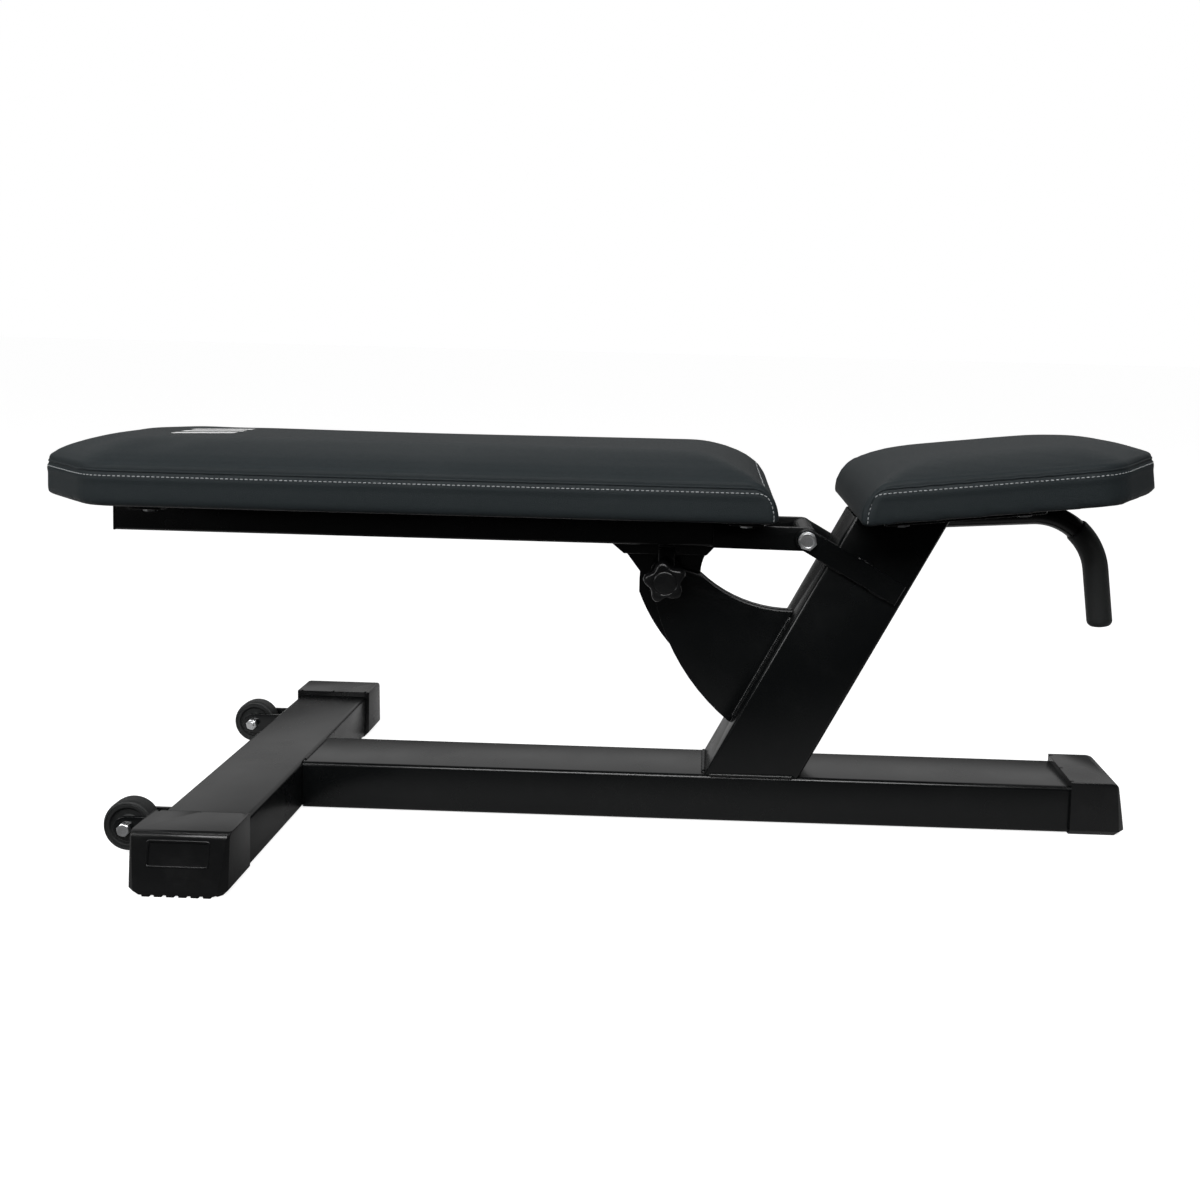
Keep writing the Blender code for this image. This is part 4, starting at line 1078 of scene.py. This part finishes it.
def makeFrameWelds():
    w, h = weldShape, handleShape
    form = bmesh.new()
    foot = postDepth / sin(postLean)
    z = tubeTop + 0.6 * mm
    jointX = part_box("foot_tube")[1].x + 0.4 * mm
    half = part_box("base_tube")[1].y
    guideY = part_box("guide_plate_far")[1].y
    along = Vector((cos(cheekLean), 0, sin(cheekLean)))
    down = Vector((along.z, 0, -along.x))
    for sign in (-1, 1):
        y = sign * (guideY + 0.6 * mm)
        beadForm(form, [onPost(w["guideLow"], y), onPost(w["guideHigh"], y)], w["guide"])
        y = sign * (postHalf - 0.2 * mm)
        beadForm(form, [(postFootX + 6 * mm, y, z), (postFootX + foot - 6 * mm, y, z)],
                 w["postSide"])
        y = sign * (half - 0.3 * mm)
        beadForm(form, [(jointX, y, 5 * mm), (jointX, y, tubeTop - 2 * mm)], w["teeSide"])
        y = sign * (postHalf + 0.8 * mm)
        for edge, start, end in w["cheekRuns"]:
            a = pivot + along * start * mm + down * edge * mm
            b = pivot + along * end * mm + down * edge * mm
            beadForm(form, [(a.x, y, a.z), (b.x, y, b.z)], w["cheek"])
    for x in (postFootX - 0.6 * mm, postFootX + foot + 0.4 * mm):
        beadForm(form, [(x, -w["postEndHalf"], z), (x, w["postEndHalf"], z)], w["postEnd"])
    beadForm(form, [(jointX, -half + 6 * mm, tubeTop - 0.6 * mm),
                    (jointX, half - 6 * mm, tubeTop - 0.6 * mm)], w["teeTop"])
    # round the handle where it enters the post, and round the pin housing
    into = Vector((cos(h["rise"]), 0, sin(h["rise"])))
    corner = Vector((h["corner"][0], 0, h["corner"][1]))
    normal = Vector((sin(postLean), 0, -cos(postLean)))
    frontFoot = Vector((postFootX, 0, tubeTop)) + normal * postDepth
    ring, turns = [], [2 * pi * i / 48 for i in range(49)]
    for a in turns:
        spoke = Vector((-into.z, 0, into.x)) * cos(a) + Vector((0, 1, 0)) * sin(a)
        point = corner + spoke * (h["tube"] + 0.4 * mm)
        ring.append(point + into * ((frontFoot - point).dot(normal) / into.dot(normal)))
    beadForm(form, ring, w["handle"])
    low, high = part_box("pin_housing")
    pin, radius = (low + high) / 2, (high.x - low.x) / 2 + 0.3 * mm
    beadForm(form, [(pin.x + radius * cos(a), high.y - 0.4 * mm, pin.z + radius * sin(a))
                    for a in turns], w["housing"])
    asPiece("frameWelds", form, "coated_steel", "stand", smooth=70)


def makeBackrestWelds():
    w = weldShape
    form = bmesh.new()
    earLow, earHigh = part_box("hinge_ear_near")
    tubeLow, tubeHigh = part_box("back_tube")
    for sign in (-1, 1):
        y = sign * (tubeHigh.y + 0.6 * mm)
        beadForm(form, [(earLow.x - 0.4 * mm, y, earLow.z + 4 * mm),
                        (earLow.x - 0.4 * mm, y, earHigh.z - 2 * mm)], w["ear"])
        for start, end in w["earRuns"]:
            beadForm(form, [(earLow.x + start * mm, y, earHigh.z + 0.3 * mm),
                            (earLow.x + end * mm, y, earHigh.z + 0.3 * mm)], w["earTop"])
    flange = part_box("sector_flange")
    for y in (flange[0].y, flange[1].y):
        beadForm(form, [(flange[0].x + 8 * mm, y, tubeLow.z - 0.2 * mm),
                        (flange[1].x - 8 * mm, y, tubeLow.z - 0.2 * mm)], w["flange"])
    for name in ("back_bar_head", "back_bar_pivot"):
        low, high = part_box(name)
        for x in (low.x, high.x):
            beadForm(form, [(x, y, low.z + 0.4 * mm) for y in (-w["barHalf"], w["barHalf"])],
                     w["bar"])
    asPiece("backrestWelds", form, "coated_steel", "backrest", smooth=70)


makeFrameWelds()
makeBackrestWelds()
print("welds laid")


# floor, lights and camera

# floorFall is painted light: the floor colour seen in reflections runs from dark in front of the
# bench to bright behind it
stageShape = dict(reach=60, floorFall=(-0.5, 0.5, 0.015, 0.85), floorSeen=(0.5, 0.5, 0.5, 1),
                  floorGlow=0.88, behind=(-0.1, 0.75, 0.03, 0.62), above=(0.08, 0.34, 0.06, 1.0))
# name, place, aim, width, height, power
lamps = (("overhead", (0, -0.55, 2.4), (0, 0, 0.3), 3.0, 0.2, 11),
         ("leftSoft", (-2.4, -1.4, 1.3), (-0.3, 0, 0.3), 1.0, 1.4, 22),
         ("frontSoft", (0.0, -2.2, 2.0), (0.1, 0, 0.35), 3.0, 0.8, 78))
view = dict(place=(0.13484, -1.44931, 0.57046), right=(0.99944, 0.0221, 0.02525),
            up=(-0.0267, 0.0673, 0.9974), sensor=36, lens=36.15, shift=(-0.073, -0.146))


def makeFloor():
    r = stageShape["reach"]
    mesh = bpy.data.meshes.new("floor")
    mesh.from_pydata([(-r, -r, 0), (r, -r, 0), (r, r, 0), (-r, r, 0)], [], [(0, 1, 2, 3)])
    floor = placed("floor", mesh)
    material, tree, surface, place = startFinish(
        "paleFloor", Roughness=0.9, Specular_IOR_Level=0.1, Emission_Color=(1, 1, 1, 1))
    # white to look at, but grey for what the bench reflects, darker towards the front: a painted
    # pool of light on the floor, bright behind the bench and dim in front, seen only in reflections
    # and bounced light
    split = addNode(tree, "SeparateXYZ", {"Vector": place})
    # painted light: a pool of light painted on the floor along Y, for non-camera rays only
    paintedLightFall = addRange(tree, split.outputs["Y"], stageShape["floorFall"])
    seen = addNode(tree, "LightPath").outputs["Is Camera Ray"]
    mix = addNode(tree, "Mix", {"Factor": seen, "A": paintedLightFall, "B": stageShape["floorSeen"]},
                  data_type="RGBA")
    feed(tree, surface["Base Color"], mix.outputs["Result"])
    feed(tree, surface["Emission Strength"],
         addMath(tree, "MULTIPLY", seen, stageShape["floorGlow"]))
    mesh.materials.append(material)


def makeStudio():
    # a white surround: full to look at, for reflections bright behind and above and dim in front
    world = bpy.data.worlds.new("studio")
    bpy.context.scene.world = world
    world.use_nodes = True
    tree = world.node_tree
    split = addNode(tree, "SeparateXYZ",
                    {"Vector": addNode(tree, "TexCoord").outputs["Generated"]}).outputs
    glow = addMath(tree, "MULTIPLY", addRange(tree, split["Y"], stageShape["behind"]),
                   addRange(tree, split["Z"], stageShape["above"]))
    seen = addNode(tree, "LightPath").outputs["Is Camera Ray"]
    background = tree.nodes["Background"].inputs
    feed(tree, background["Strength"], addMath(tree, "MAXIMUM", glow, seen))
    feed(tree, background["Color"], (1, 1, 1, 1))


def makeLamps():
    for name, place, aim, wide, tall, power in lamps:
        light = bpy.data.lights.new(name, "AREA")
        light.shape, light.size, light.size_y, light.energy = "RECTANGLE", wide, tall, power
        lamp = placed(name, light)
        lamp.location = place
        lamp.rotation_euler = (Vector(aim) - Vector(place)).to_track_quat("-Z", "Y").to_euler()


def makeCamera():
    lens = bpy.data.cameras.new("camera")
    lens.sensor_width, lens.lens = view["sensor"], view["lens"]
    lens.shift_x, lens.shift_y = view["shift"]
    camera = placed("camera", lens)
    right, up = Vector(view["right"]), Vector(view["up"])
    back = right.cross(up).normalized()
    right = up.cross(back).normalized()
    camera.matrix_world = Matrix.Translation(view["place"]) @ Matrix(
        (right, up.normalized(), back)).transposed().to_4x4()
    bpy.context.scene.camera = camera
    bpy.context.scene.view_settings.view_transform = "Standard"


makeFloor()
makeStudio()
makeLamps()
makeCamera()
print("stage set")
